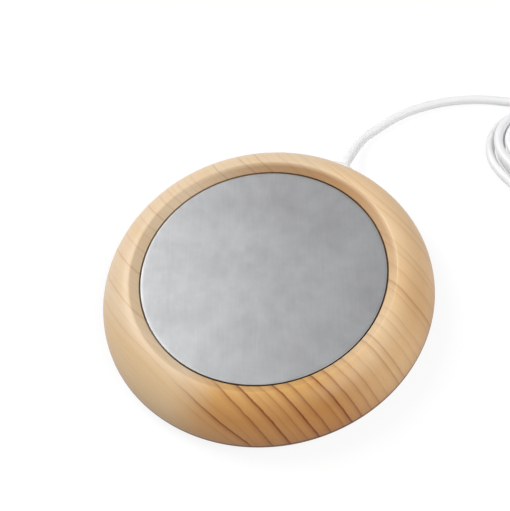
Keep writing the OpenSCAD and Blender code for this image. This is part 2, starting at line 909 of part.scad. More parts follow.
module switch_top_shell() {
    color("white")
        at_switch()
            difference() {
                union() {
                    case_half(switch_axis_z, case_h, case_h - case_wall, case_h);
                    case_posts()
                        disc(case_post_r, switch_axis_z, case_h - case_wall + 0.1);
                    for (side = [0, 1])
                        mirror([side, 0, 0])
                            translate([stop_x, 1 - case_w / 2, stop_top - stop_h])
                                cube([stop_w, case_w - 2, stop_h]);
                }
                translate([0, 0, case_h - case_wall - cut])
                    linear_extrude(case_wall + 2 * cut)
                        rounded_plan(window_l, window_w, window_corner_r);
                case_neck_holes();
                translate([0, -pin_l / 2, pivot_z])
                    rotate([-90, 0, 0])
                        cylinder(r = pin_r + seat, h = pin_l);
                case_posts()
                    disc(case_screw_r, switch_axis_z - cut, case_h - case_wall - 0.3);
            }
}
module switch_bottom_shell() {
    color("white")
        at_switch()
            difference() {
                union() {
                    case_half(0, switch_axis_z, 0, case_wall);
                    case_posts()
                        disc(case_post_r, case_wall - 0.1, switch_axis_z);
                }
                case_neck_holes();
                case_posts() {
                    disc(case_screw_r + slip, -cut, switch_axis_z + cut);
                    disc(case_screw_head_r + slip / 2, -cut, case_wall);
                }
            }
}
module switch_screws() {
    color("silver")
        at_switch()
            case_posts() {
                disc(case_screw_head_r, case_wall - case_screw_head_t, case_wall);
                disc(case_screw_r - seat, case_wall, case_h - case_wall - 1);
            }
}
module rocker_turn(a) {
    translate([0, 0, pivot_z])
        rotate([0, a, 0])
            children();
}
module switch_rocker() {
    half = rocker_l / 2;
    color("gainsboro")
        at_switch()
            rocker_turn(-half_swing)
                difference() {
                    translate([0, rocker_w / 2, 0])
                        rotate([90, 0, 0])
                            linear_extrude(rocker_w)
                                polygon([
                                    [-half, 2.5], [-half + 0.3, 2.8], [-0.6, 1.9], [0, 1.85],
                                    [0.6, 1.9], [half - 0.3, 2.8], [half, 2.5], [half, wing_low_z],
                                    [2.2, -1.4], [1.2, -stem_depth], [-1.2, -stem_depth], [-2.2, -1.4],
                                    [-half, wing_low_z]
                                ]);
                    translate([0, -rocker_w, 0])
                        rotate([-90, 0, 0])
                            cylinder(r = pin_r + pin_play, h = 2 * rocker_w);
                    rocker_marks();
                }
}
// A bar on the rocker's on side and a ring on its off side
module rocker_marks() {
    slope = atan(0.9 / (rocker_l / 2 - 0.9));
    mark_x = rocker_l / 2 - 2.9;
    for (side = [0, 1])
        mirror([side, 0, 0])
            translate([mark_x, 0, 1.9 + 0.9 * (mark_x - 0.6) / (rocker_l / 2 - 0.9)])
                rotate([0, -slope, 0])
                    translate([0, 0, -0.25])
                        linear_extrude(1.5)
                            if (side == 0)
                                square([0.4, 2.2], center = true);
                            else
                                difference() {
                                    circle(1.15);
                                    circle(0.75);
                                }
}
module rocker_pin() {
    color("silver")
        at_switch()
            translate([0, -pin_l / 2 + seat, pivot_z])
                rotate([-90, 0, 0])
                    cylinder(r = pin_r, h = pin_l - 2 * seat);
}
module contact_bridge() {
    color("gold")
        at_switch()
            rocker_turn(-half_swing)
                translate([-bridge_back, -bridge_w / 2, -stem_depth - bridge_t])
                    cube([bridge_reach + bridge_back, bridge_w, bridge_t]);
}
module contact_strip(x1, y1, x2, y2) {
    translate([x1, y1, case_wall])
        cube([x2 - x1, y2 - y1, strip_t]);
}
module switch_contacts() {
    inner = contact_y - contact_w / 2;
    outer = contact_y + contact_w / 2;
    color("gold")
        at_switch() {
            contact_strip(near_tail_x, inner, contact_x + contact_l, outer);
            contact_strip(contact_x, -outer, far_tail_x, -inner);
            contact_strip(far_tail_x - contact_w, -outer, far_tail_x, outer);
            for (side = [-1, 1])
                translate([contact_x, side * contact_y - contact_w / 2, case_wall])
                    cube([contact_l, contact_w, contact_top - case_wall]);
        }
}
module switch_cores() {
    edge = case_core_x;
    high = switch_axis_z;
    through_core = [
        [-edge, -core_side, high], [-edge + core_d, -core_side, high],
        [-edge + 4.4, -1.2, high - 1.2], [-6, -3.8, high - 2.4],
        [-2, -4.4, high - 2.6], [5, -4.4, high - 2.6], [edge - 4.4, -3, high - 1.6],
        [edge - core_d, -core_side, high], [edge, -core_side, high]
    ];
    near_core = [
        [-edge, core_side, high], [-edge + core_d, core_side, high],
        [-edge + 4.4, 1.3, high - 0.9], [-6.6, contact_y, high - 1.3],
        [-5.2, contact_y, strip_top + core_d], [-5.2, contact_y, strip_top]
    ];
    far_core = [
        [edge, core_side, high], [edge - core_d, core_side, high],
        [edge - 3.6, 1.2, high - 0.6], [8.8, 1.6, high - 1.3],
        [7.7, 1.7, strip_top + core_d], [7.7, 1.7, strip_top]
    ];
    color("crimson")
        at_switch()
            for (core = [through_core, near_core, far_core])
                tube(core, core_d, 8);
}
module boot(l, root_r, tip_r) {
    difference() {
        rotate([0, 90, 0])
            cylinder(r1 = root_r, r2 = tip_r, h = l);
        for (i = [1 : 3])
            translate([i * l / 4 - 0.3, 0, 0])
                rotate([0, 90, 0])
                    difference() {
                        cylinder(r = root_r + 1, h = 0.6);
                        cylinder(r = tip_r - 0.15, h = 0.6);
                    }
    }
}
module switch_boot() {
    translate([case_l / 2, 0, switch_axis_z])
        boot(boot_l, 3, 2.2);
    along_x(neck_hole_r - seat, case_l / 2 - case_wall, case_l / 2, switch_axis_z);
    along_x(neck_hole_r + 0.5, case_core_x, case_l / 2 - case_wall, switch_axis_z);
}
module switch_boot_in() {
    color("white")
        at_switch()
            mirror([1, 0, 0])
                switch_boot();
}
module switch_boot_out() {
    color("white")
        at_switch()
            switch_boot();
}

// Plug, in its own frame with X out towards the socket
module at_plug() {
    translate([plug_place[0], ring_r + plug_place[1], plug_axis_z])
        rotate([0, 0, plug_angle])
            children();
}
module plug_boot() {
    color("white")
        at_plug()
            mirror([1, 0, 0])
                translate([-plug_boot_l, 0, 0])
                    boot(plug_boot_l, 3.2, 2.2);
}
module plug_grip() {
    color("white")
        at_plug()
            difference() {
                translate([plug_boot_l, 0, 0])
                    rotate([90, 0, 90])
                        linear_extrude(grip_l)
                            rounded_plan(grip_w, grip_h, 2);
                for (side = [-1, 1], i = [0 : 3])
                    translate([plug_boot_l + 4 + i * 2, 0, side * (grip_h / 2 + 0.1)])
                        cube([0.8, 9, 0.8], center = true);
            }
}
module plug_shell() {
    color("silver")
        at_plug()
            difference() {
                translate([shell_start, 0, 0])
                    rotate([90, 0, 90])
                        linear_extrude(shell_l)
                            difference() {
                                rounded_plan(shell_w, shell_h, 0.6);
                                rounded_plan(shell_w - 2 * shell_t, shell_h - 2 * shell_t, 0.3);
                            }
                for (y = [-1, 1])
                    translate([shell_start + 7.5, y * 2.8 - 1.25, -shell_h])
                        cube([2.5, 2.5, 2 * shell_h]);
            }
}
module plug_tongue() {
    color("whitesmoke")
        at_plug() {
            translate([shell_start, -tongue_w / 2, tongue_bottom])
                cube([tongue_l, tongue_w, tongue_t]);
            translate([shell_start, -tongue_w / 2, tongue_bottom])
                cube([tongue_root_l, tongue_w, shell_h - 2 * shell_t]);
        }
}
module plug_contacts() {
    color("gold")
        at_plug()
            for (y = [-3.5, -1, 1, 3.5])
                translate([shell_start + tongue_root_l, y - 0.5, tongue_bottom + tongue_t])
                    cube([abs(y) > 2 ? 11 : 10, 1, contact_strip_h]);
}

wood_ring();
hot_plate();
plate_gasket();
heater_film();
heater_track();
insulation_pad();
clamp_plate();
plate_nuts();
thermal_cutout();
cutout_strap();
cutout_rivets();
circuit_board();
board_parts();
board_screws();
heater_wires();
cord_cores();
cord_inner();
cable_clamp();
clamp_screws();
base_cover();
base_screws();
foot_1();
foot_2();
foot_3();
foot_4();
strain_relief();
cord_lead();
switch_top_shell();
switch_bottom_shell();
switch_rocker();
rocker_pin();
contact_bridge();
switch_contacts();
switch_cores();
switch_screws();
switch_boot_in();
switch_boot_out();
cord_link();
cord_hank();
hank_tie();
cord_tail();
plug_boot();
plug_grip();
plug_shell();
plug_tongue();
plug_contacts();
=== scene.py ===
# %% [markdown]
# # An electric mug warmer
#
# A turned wooden ring holds a round brushed plate that keeps a mug warm. A thin white lead leaves
# the back of the ring and carries a rocker switch, a tied bundle of spare lead and a plug.
#
# The solid model comes in first as a fixed frame. Everything made here sits around it, in metres,
# with the ring's centre on the table at the origin and the lead leaving towards +Y. Small sizes are
# easier to read in millimetres, so they are written so and scaled once, by MM.

import json
import math

import bmesh
import bpy
from mathutils import Matrix, Vector


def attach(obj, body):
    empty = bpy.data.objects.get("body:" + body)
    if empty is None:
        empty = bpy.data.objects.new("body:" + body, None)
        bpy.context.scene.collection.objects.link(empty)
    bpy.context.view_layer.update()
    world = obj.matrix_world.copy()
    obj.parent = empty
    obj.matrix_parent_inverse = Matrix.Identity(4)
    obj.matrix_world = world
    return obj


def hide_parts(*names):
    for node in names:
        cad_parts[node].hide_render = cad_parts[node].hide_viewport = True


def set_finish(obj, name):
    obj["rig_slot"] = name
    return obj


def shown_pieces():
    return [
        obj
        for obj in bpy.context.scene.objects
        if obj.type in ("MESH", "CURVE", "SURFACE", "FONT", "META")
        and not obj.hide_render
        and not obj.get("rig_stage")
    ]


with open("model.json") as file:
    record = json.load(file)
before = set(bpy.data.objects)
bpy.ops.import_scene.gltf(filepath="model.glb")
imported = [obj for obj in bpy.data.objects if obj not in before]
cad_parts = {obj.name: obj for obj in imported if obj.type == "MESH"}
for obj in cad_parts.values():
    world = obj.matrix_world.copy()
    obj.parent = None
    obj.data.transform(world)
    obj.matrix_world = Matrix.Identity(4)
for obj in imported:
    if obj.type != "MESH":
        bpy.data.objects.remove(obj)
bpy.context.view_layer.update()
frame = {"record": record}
MM = 0.001


# %% [markdown]
# ## Camera
#
# The picture was taken from above and to one side, from a little over 40 cm away, with the camera
# rolled a little. The place, the aim, the roll and the lens were fitted to the outlines of the ring
# and the plate. A long lens keeps the far rim almost as wide as the near one, as in the picture.

# %% Camera
CAMERA_AT = Vector((142.74, -171.93, 365.62)) * MM
CAMERA_AIM = Vector((-9.08, 9.22, 10.0)) * MM
CAMERA_ROLL = math.radians(13.13)
LENS = 88.67

camera_data = bpy.data.cameras.new("camera")
camera_data.lens = LENS
camera_data.sensor_width = 36
camera_data.clip_start = 0.01
camera = bpy.data.objects.new("camera", camera_data)
bpy.context.scene.collection.objects.link(camera)
looking = (CAMERA_AIM - CAMERA_AT).to_track_quat("-Z", "Y").to_matrix().to_4x4()
camera.matrix_world = Matrix.Translation(CAMERA_AT) @ looking @ Matrix.Rotation(-CAMERA_ROLL, 4, "Z")
bpy.context.scene.camera = camera
print("camera", round((CAMERA_AIM - CAMERA_AT).length * 1000), "mm from its aim")

# %% [markdown]
# ## Helpers for shapes
#
# Most pieces here are one of three kinds: turned on a lathe, swept along a line, or moulded with
# rounded corners. Each kind has one helper that writes its mesh ring by ring. A closed mesh made
# this way has even faces and clean shading, which a stack of modifiers doesn't promise.

# %% Write a mesh ring by ring
SHARP_ANGLE = math.radians(35)
SAME_PLACE = 1e-7


def shade(mesh):
    """Shades a mesh smooth, with its sharp edges kept."""
    mesh.shade_smooth()
    mesh.set_sharp_from_angle(angle=SHARP_ANGLE)


def new_object(name, mesh):
    shade(mesh)
    made = bpy.data.objects.new(name, mesh)
    bpy.context.scene.collection.objects.link(made)
    return made


def mesh_object(name, corners, faces):
    """An object from corners in millimetres."""
    mesh = bpy.data.meshes.new(name)
    mesh.from_pydata([Vector(c) * MM for c in corners], [], faces)
    tidy = bmesh.new()
    tidy.from_mesh(mesh)
    bmesh.ops.remove_doubles(tidy, verts=tidy.verts, dist=SAME_PLACE)
    bmesh.ops.recalc_face_normals(tidy, faces=tidy.faces)
    tidy.to_mesh(mesh)
    tidy.free()
    return new_object(name, mesh)


def loft(name, loops, close=False):
    """Joins loops with as many corners each. It ends in flat caps, or comes round to its start."""
    count = len(loops[0])
    corners = [c for loop in loops for c in loop]
    faces = []
    for i in range(len(loops) if close else len(loops) - 1):
        here, there = i * count, (i + 1) % len(loops) * count
        for k in range(count):
            n = (k + 1) % count
            faces.append((here + k, here + n, there + n, there + k))
    if not close:
        faces.append(tuple(range(count))[::-1])
        faces.append(tuple(range(len(corners) - count, len(corners))))
    return mesh_object(name, corners, faces)


print("edges stay sharp from", round(math.degrees(SHARP_ANGLE)), "degrees")

# %% Outlines, and the solids they make
CORNERS = ((1, 1), (-1, 1), (-1, -1), (1, -1))


def arc(centre_r, centre_z, radius, start, end, steps=6):
    """Points of a rounded corner, with angles in degrees."""
    turns = [math.radians(start + (end - start) * i / steps) for i in range(steps + 1)]
    return [(centre_r + radius * math.cos(a), centre_z + radius * math.sin(a)) for a in turns]


def turned(name, outline, steps=192, close=False):
    """Turns an outline of (radius, height) points about Z."""
    angles = [math.tau * k / steps for k in range(steps)]
    loops = [[(r * math.cos(a), r * math.sin(a), z) for a in angles] for r, z in outline]
    return loft(name, loops, close)


def rounded(half_x, half_y, radius, steps=6):
    """Corners of a rectangle with round corners, about its middle."""
    radius = min(radius, half_x, half_y)
    points = []
    for corner, (sx, sy) in enumerate(CORNERS):
        points += arc(sx * (half_x - radius), sy * (half_y - radius), radius,
                      corner * 90, corner * 90 + 90, steps)
    return points


def prism(name, outline, levels):
    """A block whose outline of (x, y) points stands at each level."""
    return loft(name, [[(x, y, z) for x, y in outline] for z in levels])


print("a rounded outline has", len(rounded(1, 1, 1)), "corners")

# %% Move, cut and place a piece
def moved(piece, matrix):
    piece.data.transform(matrix)
    return piece


def shift(x, y=0.0, z=0.0):
    """A move by millimetres."""
    return Matrix.Translation(Vector((x, y, z)) * MM)


def spin(degrees, axis="Z"):
    return Matrix.Rotation(math.radians(degrees), 4, axis)


def combined(piece, other, operation):
    """Takes other's space out of piece, or makes one solid of both."""
    step = piece.modifiers.new("step", "BOOLEAN")
    step.operation, step.object, step.solver = operation, other, "EXACT"
    shape = piece.evaluated_get(bpy.context.evaluated_depsgraph_get())
    done = bpy.data.meshes.new_from_object(shape)
    piece.modifiers.clear()
    piece.data = done
    bpy.data.objects.remove(other)
    shade(done)


def cut_away(piece, cutter):
    combined(piece, cutter, "DIFFERENCE")


def put(piece, slot, *nodes, body="warmer"):
    """Lets a piece ride on a body, with the finish of a slot, in place of nodes of the frame."""
    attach(piece, body)
    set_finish(piece, slot)
    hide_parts(*nodes)


print("helpers ready")

# %% [markdown]
# ## The lead
#
# A low-voltage lead is a soft round tube, 3.2 mm thick, that keeps the curves it was packed in. Its
# route is a list of points, from the collar behind the ring round to the switch, and on past a tied
# bundle to the plug. The bundle is a formula: its loops spiral in on one layer and out again on the
# next, and the tie draws them in at the waist. The tube is swept by code rather than by a bevelled
# curve, so that its rings never twist and stay even through the tight ends.

# %% The bundle of spare lead, in millimetres
CORD_D = 3.2
CORD_R = CORD_D / 2
CORD_PITCH = 3.8
HANK_LOOPS = 4
HANK_INNER_R = 9.6
HANK_RUN = 52
HANK_DRAW = 5
HANK_TIP = Vector((43.7, 105.8))
HANK_ANGLE = -38
TURN_BACK = HANK_LOOPS / 2 + 0.25
HANK_OUTER_R = HANK_INNER_R + TURN_BACK * CORD_PITCH
LAYERS = (2.4, 6.2)
HANK_ALONG = (spin(HANK_ANGLE) @ Vector((1, 0, 0))).xy
HANK_MIDDLE = HANK_TIP + HANK_ALONG * (HANK_OUTER_R + HANK_RUN / 2)


def hank_radius(turn):
    return HANK_OUTER_R - CORD_PITCH * (turn if turn < TURN_BACK else 2 * TURN_BACK - turn)


def hank_point(turn):
    """The bundle's centreline after so many turns, counted from the middle of its far end.

    A turn has 24 parts: 4 for a quarter circle, 4 for a side, 8 for the near end and then the same
    back. The sides are drawn in at their middle by the tie.
    """
    radius = hank_radius(turn)
    part = (turn % 1) * 24
    half = HANK_RUN / 2
    if 4 <= part < 8 or 16 <= part < 20:
        going = part < 8
        x = half - HANK_RUN * (part - 4) / 4 if going else -half + HANK_RUN * (part - 16) / 4
        y = (radius - HANK_DRAW * math.cos(math.pi * x / HANK_RUN) ** 2) * (-1 if going else 1)
    else:
        near = 8 <= part < 16
        a = -math.radians(90 + 22.5 * (part - 8) if near else 22.5 * (part if part < 4 else part - 24))
        x, y = (-half if near else half) + radius * math.cos(a), radius * math.sin(a)
    climb = min(1, max(0, (turn - TURN_BACK) * 6 + 0.5))
    z = LAYERS[0] + (LAYERS[1] - LAYERS[0]) * climb * climb * (3 - 2 * climb)
    across = Vector((-HANK_ALONG.y, HANK_ALONG.x))
    flat = HANK_MIDDLE + HANK_ALONG * x + across * y
    return Vector((flat.x, flat.y, z))


HANK_TURN_STEPS = 96
hank_points = [hank_point(i / HANK_TURN_STEPS) for i in range(HANK_LOOPS * HANK_TURN_STEPS + 1)]
print("bundle", round(sum((b - a).length for a, b in zip(hank_points, hank_points[1:]))), "mm")

# %% Places of the switch and the plug, and the lead's way between them
EXIT = (0, 56, 5.8)
SWITCH_Z = 5.5
SWITCH_HALF_L = 17
SWITCH_BOOT_L = 7
SWITCH = Matrix.Translation((95.5, 97, 0)) @ spin(HANK_ANGLE)
PLUG_Z = 3.8
PLUG_ANGLE = -75
PLUG = Matrix.Translation((103, 18.6, PLUG_Z)) @ spin(PLUG_ANGLE)

LEAD_ROUTE = [
    (0, 59.5, 5.7), (-0.2, 62.5, 5), (-0.6, 66, 3.8), (-0.9, 70, 2.6), (-0.7, 73.5, 1.9),
    (0.3, 77, 1.6), (2.2, 81, 1.6), (4.2, 85, 1.6), (6.5, 88.8, 1.6), (9.2, 92.4, 1.6),
    (12.4, 95.8, 1.6), (16.4, 99.3, 1.6), (20.8, 102.5, 1.6), (25.6, 105.2, 1.6),
    (30.6, 107.5, 1.6), (35.8, 109.2, 1.6), (41, 110.6, 1.6), (46.5, 112, 1.6),
    (52, 113.6, 1.6), (57.5, 115, 1.7), (63, 115.8, 2.3), (68.5, 115.4, 3.8),
]
LINK_ROUTE = [
    (119.6, 77.4, 4.7), (121.8, 73.6, 3.6), (122.6, 69, 2.8), (121.8, 64, 2.4), (119.8, 59.8, 2.4),
]
TAIL_ROUTE = [
    (107, 46.2, 6.1), (104, 42, 5.3), (101.8, 37.5, 4.3), (100.8, 33, 3.6), (100.8, 28.5, 3.3),
    (101.4, 24.6, 3.6),
]
print(len(LEAD_ROUTE + LINK_ROUTE + TAIL_ROUTE), "places on the lead's way")

# %% Smooth routes
ROUTE_SPACING = 1.0


def smooth_route(points, spacing=ROUTE_SPACING):
    """A curve through every point, with a new point about every spacing."""
    points = [Vector(p) for p in points]
    padded = [2 * points[0] - points[1]] + points + [2 * points[-1] - points[-2]]
    out = []
    for before, a, b, after in zip(padded, padded[1:], padded[2:], padded[3:]):
        steps = max(1, round((b - a).length / spacing))
        for i in range(steps):
            t = i / steps
            out.append(0.5 * (
                2 * a + (b - before) * t + (2 * before - 5 * a + 4 * b - after) * t ** 2
                + (3 * a - before - 3 * b + after) * t ** 3))
    return out + [points[-1]]


def even_route(points, spacing):
    """The same line with points an equal way apart."""
    out, left = [points[0]], spacing
    for a, b in zip(points, points[1:]):
        span = (b - a).length
        while left <= span:
            out.append(a.lerp(b, left / span))
            left += spacing
        left -= span
    if (points[-1] - out[-1]).length > spacing / 2:
        out.append(points[-1])
    else:
        out[-1] = points[-1]
    return out


def route_length(route):
    return sum((b - a).length for a, b in zip(route, route[1:])) * MM


switch_in = SWITCH @ Vector((-SWITCH_HALF_L - SWITCH_BOOT_L, 0, SWITCH_Z))
before_switch = SWITCH @ Vector((-SWITCH_HALF_L - SWITCH_BOOT_L - CORD_D, 0, SWITCH_Z))
switch_out = SWITCH @ Vector((SWITCH_HALF_L + SWITCH_BOOT_L, 0, SWITCH_Z))
after_switch = SWITCH @ Vector((SWITCH_HALF_L + SWITCH_BOOT_L + CORD_D, 0, SWITCH_Z))
plug_in = PLUG @ Vector((0, 0, 0))
before_plug = PLUG @ Vector((-CORD_D, 0, 0))
hank_way = Vector((HANK_ALONG.y, -HANK_ALONG.x, 0))

lead_route = even_route(smooth_route(
    [EXIT, (0, 58.4, 5.8)] + LEAD_ROUTE + [before_switch, switch_in]), ROUTE_SPACING)
rest_route = even_route(
    smooth_route([switch_out, after_switch] + LINK_ROUTE
                 + [hank_points[0] - hank_way * 2 * CORD_D, hank_points[0] - hank_way * CORD_D])
    + hank_points
    + smooth_route([hank_points[-1] + hank_way * CORD_D, hank_points[-1] + hank_way * (CORD_D + 1.5)]
                   + TAIL_ROUTE + [before_plug, plug_in]), ROUTE_SPACING)
print("stretches, m:", [round(route_length(route), 4) for route in (lead_route, rest_route)])

# %% The tube along a route
def swept(name, route, radius, sides=20):
    """A round tube along a route, whose rings are carried along without a twist."""
    loops = []
    side = None
    for i, here in enumerate(route):
        way = (route[min(i + 1, len(route) - 1)] - route[max(i - 1, 0)]).normalized()
        if side is None:
            side = way.cross(Vector((0, 0, 1)) if abs(way.z) < 0.9 else Vector((1, 0, 0)))
        side = (side - way * side.dot(way)).normalized()
        up = way.cross(side)
        angles = [math.tau * (k + 0.5) / sides for k in range(sides)]
        loops.append([here + radius * (math.cos(a) * side + math.sin(a) * up) for a in angles])
    return loft(name, loops)


lead = swept("lead", lead_route, CORD_R)
spare_lead = swept("spare_lead", rest_route, CORD_R)
put(lead, "cord", "cord_lead")
put(spare_lead, "cord", "cord_link", "cord_hank", "cord_tail")
print("tubes", len(lead.data.vertices), "and", len(spare_lead.data.vertices), "corners")

# %% [markdown]
# ## Floor and light
#
# The picture is a white cut-out with hardly any shadow. Its light is soft: a large lamp from the
# left gives the plate its glow, and a wider one from the right keeps the other side open. What the
# camera sees of the white paper is mostly glow, with a little true shading left in it, so that a
# faint contact shadow stays. Other rays meet ordinary paper, which throws light up under the rim.

# %% Helpers for shader nodes
def add_node(tree, kind, inputs=None, **settings):
    """A shader node with its settings, and with a value or a link in each named input."""
    made = tree.nodes.new("ShaderNode" + kind)
    for name, value in settings.items():
        setattr(made, name, value)
    for name, value in (inputs or {}).items():
        if isinstance(value, bpy.types.NodeSocket):
            tree.links.new(value, made.inputs[name])
        else:
            made.inputs[name].default_value = value
    return made


def maths(tree, operation, first, second=0.0, third=0.0):
    node = add_node(tree, "Math", {0: first, 1: second, 2: third}, operation=operation)
    return node.outputs[0]


def scaled(tree, value, low, high, to_low=0.0, to_high=1.0, kind="LINEAR"):
    """Takes low..high to to_low..to_high, and holds it at the ends."""
    node = add_node(tree, "MapRange", {
        "Value": value, "From Min": low, "From Max": high, "To Min": to_low, "To Max": to_high,
    }, interpolation_type=kind)
    return node.outputs["Result"]


def blended(tree, share, first, second, blend_type="MIX"):
    """Mixes two colours."""
    node = add_node(tree, "Mix", data_type="RGBA", blend_type=blend_type)
    for index, value in ((0, share), (6, first), (7, second)):
        if isinstance(value, bpy.types.NodeSocket):
            tree.links.new(value, node.inputs[index])
        else:
            node.inputs[index].default_value = value if index == 0 else tuple(value)[:3] + (1,)
    return node.outputs[2]


def empty_material(name):
    material = bpy.data.materials.new(name)
    material.use_nodes = True
    tree = material.node_tree
    tree.nodes.clear()
    return material, tree, tree.nodes.new("ShaderNodeOutputMaterial")


def dress(piece, material):
    piece.data.materials.clear()
    piece.data.materials.append(material)


print("node helpers ready")

# %% Paper
def join(tree, node, first, *shaders):
    """Links shaders to a node's inputs, from the first on."""
    for index, shader in enumerate(shaders, first):
        tree.links.new(shader.outputs[0], node.inputs[index])


def kinds_of_ray(tree):
    """Whether a ray comes from the camera, and whether from a mirror or through glass."""
    rays = add_node(tree, "LightPath").outputs
    return rays["Is Camera Ray"], maths(
        tree, "MAXIMUM", rays["Is Glossy Ray"], rays["Is Transmission Ray"])


PAPER = (0.8, 0.8, 0.8, 1)
SHADING_SEEN = 0.16
GLOW_SEEN = 0.86
FLOOR_HALF = 4000

floor = prism("floor", rounded(FLOOR_HALF, FLOOR_HALF, FLOOR_HALF / 2), (-1.0, -0.02))
floor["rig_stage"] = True
paper, tree, out = empty_material("paper")
by_camera, mirrored = kinds_of_ray(tree)
seen = add_node(tree, "AddShader")
plain = add_node(tree, "BsdfDiffuse", {"Color": (SHADING_SEEN, SHADING_SEEN, SHADING_SEEN, 1)})
glow = add_node(tree, "Emission", {"Strength": GLOW_SEEN})
join(tree, seen, 0, plain, glow)
paper_plain = add_node(tree, "BsdfDiffuse", {"Color": PAPER})
paper_white = add_node(tree, "Emission", {"Strength": 1.0})
unseen = add_node(tree, "MixShader", {"Fac": mirrored})
join(tree, unseen, 1, paper_plain, paper_white)
both = add_node(tree, "MixShader", {"Fac": by_camera})
join(tree, both, 1, unseen, seen)
tree.links.new(both.outputs[0], out.inputs["Surface"])
dress(floor, paper)
print("paper with", len(tree.nodes), "nodes")

# %% World and lamps
AMBIENT = 0.2
LAMP_AWAY = 0.9

world = bpy.data.worlds.new("world")
bpy.context.scene.world = world
world.use_nodes = True
tree = world.node_tree
tree.nodes.clear()
white_ray = maths(tree, "MAXIMUM", *kinds_of_ray(tree))
sky = add_node(tree, "Background", {"Strength": scaled(tree, white_ray, 0, 1, AMBIENT, 1)})
tree.links.new(sky.outputs[0], tree.nodes.new("ShaderNodeOutputWorld").inputs["Surface"])


def soft_lamp(name, azimuth, elevation, size, share):
    """A square lamp aimed at the ring. Share 1 lights a white sheet that faces it to white."""
    data = bpy.data.lights.new(name, "AREA")
    data.size = size
    data.energy = share * (math.pi * LAMP_AWAY) ** 2
    lamp = bpy.data.objects.new(name, data)
    bpy.context.scene.collection.objects.link(lamp)
    a, e = math.radians(azimuth), math.radians(elevation)
    way = Vector((math.cos(a) * math.cos(e), math.sin(a) * math.cos(e), math.sin(e)))
    lamp.matrix_world = (Matrix.Translation(way * LAMP_AWAY)
                         @ way.to_track_quat("Z", "Y").to_matrix().to_4x4())


soft_lamp("left", 171, 46, 0.5, 0.77)
soft_lamp("right", -10, 50, 0.6, 0.58)
bpy.context.scene.view_settings.view_transform = "Standard"

# %% [markdown]
# ## The wooden ring
#
# The ring is one piece of softwood, turned on a lathe and varnished. Its outer side swells out low
# down, like a pebble, and rises to a narrow crest. Inside the crest a short slope leads down to the
# plate. A lathe outline gives exactly this, so its section is written as points: a little under an
# ellipse for the outer curve, a tight arc for the crest, then the slope, the ledge and the hollow
# below. Small radii on the lips catch the light as sanded edges do, and the inner lip stands a
# little nearer to the plate than the wall under it, which keeps the dark gap line thin.

# %% Turn the ring
RING_R, RING_H = 56, 20
BELLY_Z = 5.4
CURVE_POWER = 1.66
CREST_R, CREST_ROUND = 43.6, 0.9
REBATE_R, SLOPE_FOOT_Z = 41.5, 18.1
LIP_R, LIP_FOOT_Z = 41.3, 17.3
LEDGE_R, LEDGE_TOP, LEDGE_BOTTOM = 37.5, 16, 13.5
CAVITY_R, COVER_SEAT_R, COVER_TOP = 41, 47, 3.2
FOOT_OF_RING_R, BASE_Z = 49, 1.2
LIP_ROUND = 0.3
CURVE_STEPS = 48


def power_curve(angle):
    """The outer curve, from the widest place at 0 degrees up to the crest at 90."""
    a = math.radians(angle)
    shoulder = CREST_R + CREST_ROUND
    return (shoulder + (RING_R - shoulder) * max(0, math.cos(a)) ** (2 / CURVE_POWER),
            BELLY_Z + (RING_H - BELLY_Z) * math.sin(a) ** (2 / CURVE_POWER))


ring_outline = (
    arc(FOOT_OF_RING_R - LIP_ROUND, BASE_Z + LIP_ROUND, LIP_ROUND, -90, -60, 2)
    + [(FOOT_OF_RING_R + (RING_R - FOOT_OF_RING_R) * math.sin(math.radians(a)),
        BELLY_Z - (BELLY_Z - BASE_Z) * math.cos(math.radians(a))) for a in range(6, 90, 6)]
    + [power_curve(90 * i / CURVE_STEPS) for i in range(CURVE_STEPS + 1)]
    + arc(CREST_R + CREST_ROUND, RING_H - CREST_ROUND, CREST_ROUND, 100, 140, 4)
    + [(LIP_R + 0.12, SLOPE_FOOT_Z + 0.08), (LIP_R, SLOPE_FOOT_Z - 0.08), (LIP_R, LIP_FOOT_Z),
       (REBATE_R, LIP_FOOT_Z - 0.2), (REBATE_R, LEDGE_TOP), (LEDGE_R, LEDGE_TOP),
       (LEDGE_R, LEDGE_BOTTOM), (CAVITY_R, LEDGE_BOTTOM), (CAVITY_R, COVER_TOP),
       (COVER_SEAT_R, COVER_TOP), (COVER_SEAT_R, BASE_Z + LIP_ROUND)]
    + arc(COVER_SEAT_R + LIP_ROUND, BASE_Z + LIP_ROUND, LIP_ROUND, 210, 270, 2))
wood_ring = turned("turned_ring", ring_outline, steps=256, close=True)

# %% Bore the ring for the lead and for the base's screws
COLLAR_SEAT_Y = 54.8
COLLAR_W, COLLAR_H = 9, 6
NECK_R = 2.3
EXIT_Z = EXIT[2]
SEAT = 0.02
SCREW_R, SCREW_CIRCLE_R, SCREW_TOP = 1.12, 44, 9.4


def section_at(y, half_w, half_h, radius):
    """An upright rounded outline about the lead's line, at a place along Y."""
    return [(x, y, EXIT_Z + z) for x, z in rounded(half_w, half_h, radius)]


collar_pocket = loft("collar_pocket", [
    section_at(y, COLLAR_W / 2 + SEAT, COLLAR_H / 2 + SEAT, COLLAR_H / 2)
    for y in (COLLAR_SEAT_Y, RING_R + 2)])
neck_bore = loft("neck_bore", [
    section_at(y, NECK_R + SEAT, NECK_R + SEAT, NECK_R) for y in (CAVITY_R - 1, RING_R)])
for cutter in (collar_pocket, neck_bore):
    cut_away(wood_ring, cutter)
for quarter in range(4):
    hole = turned("screw_hole", [(SCREW_R, COVER_TOP - 1), (SCREW_R, SCREW_TOP)], steps=24)
    cut_away(wood_ring, moved(hole, spin(45 + 90 * quarter) @ shift(SCREW_CIRCLE_R)))
put(wood_ring, "wood", "wood_ring")
print("ring", len(wood_ring.data.vertices), "corners")

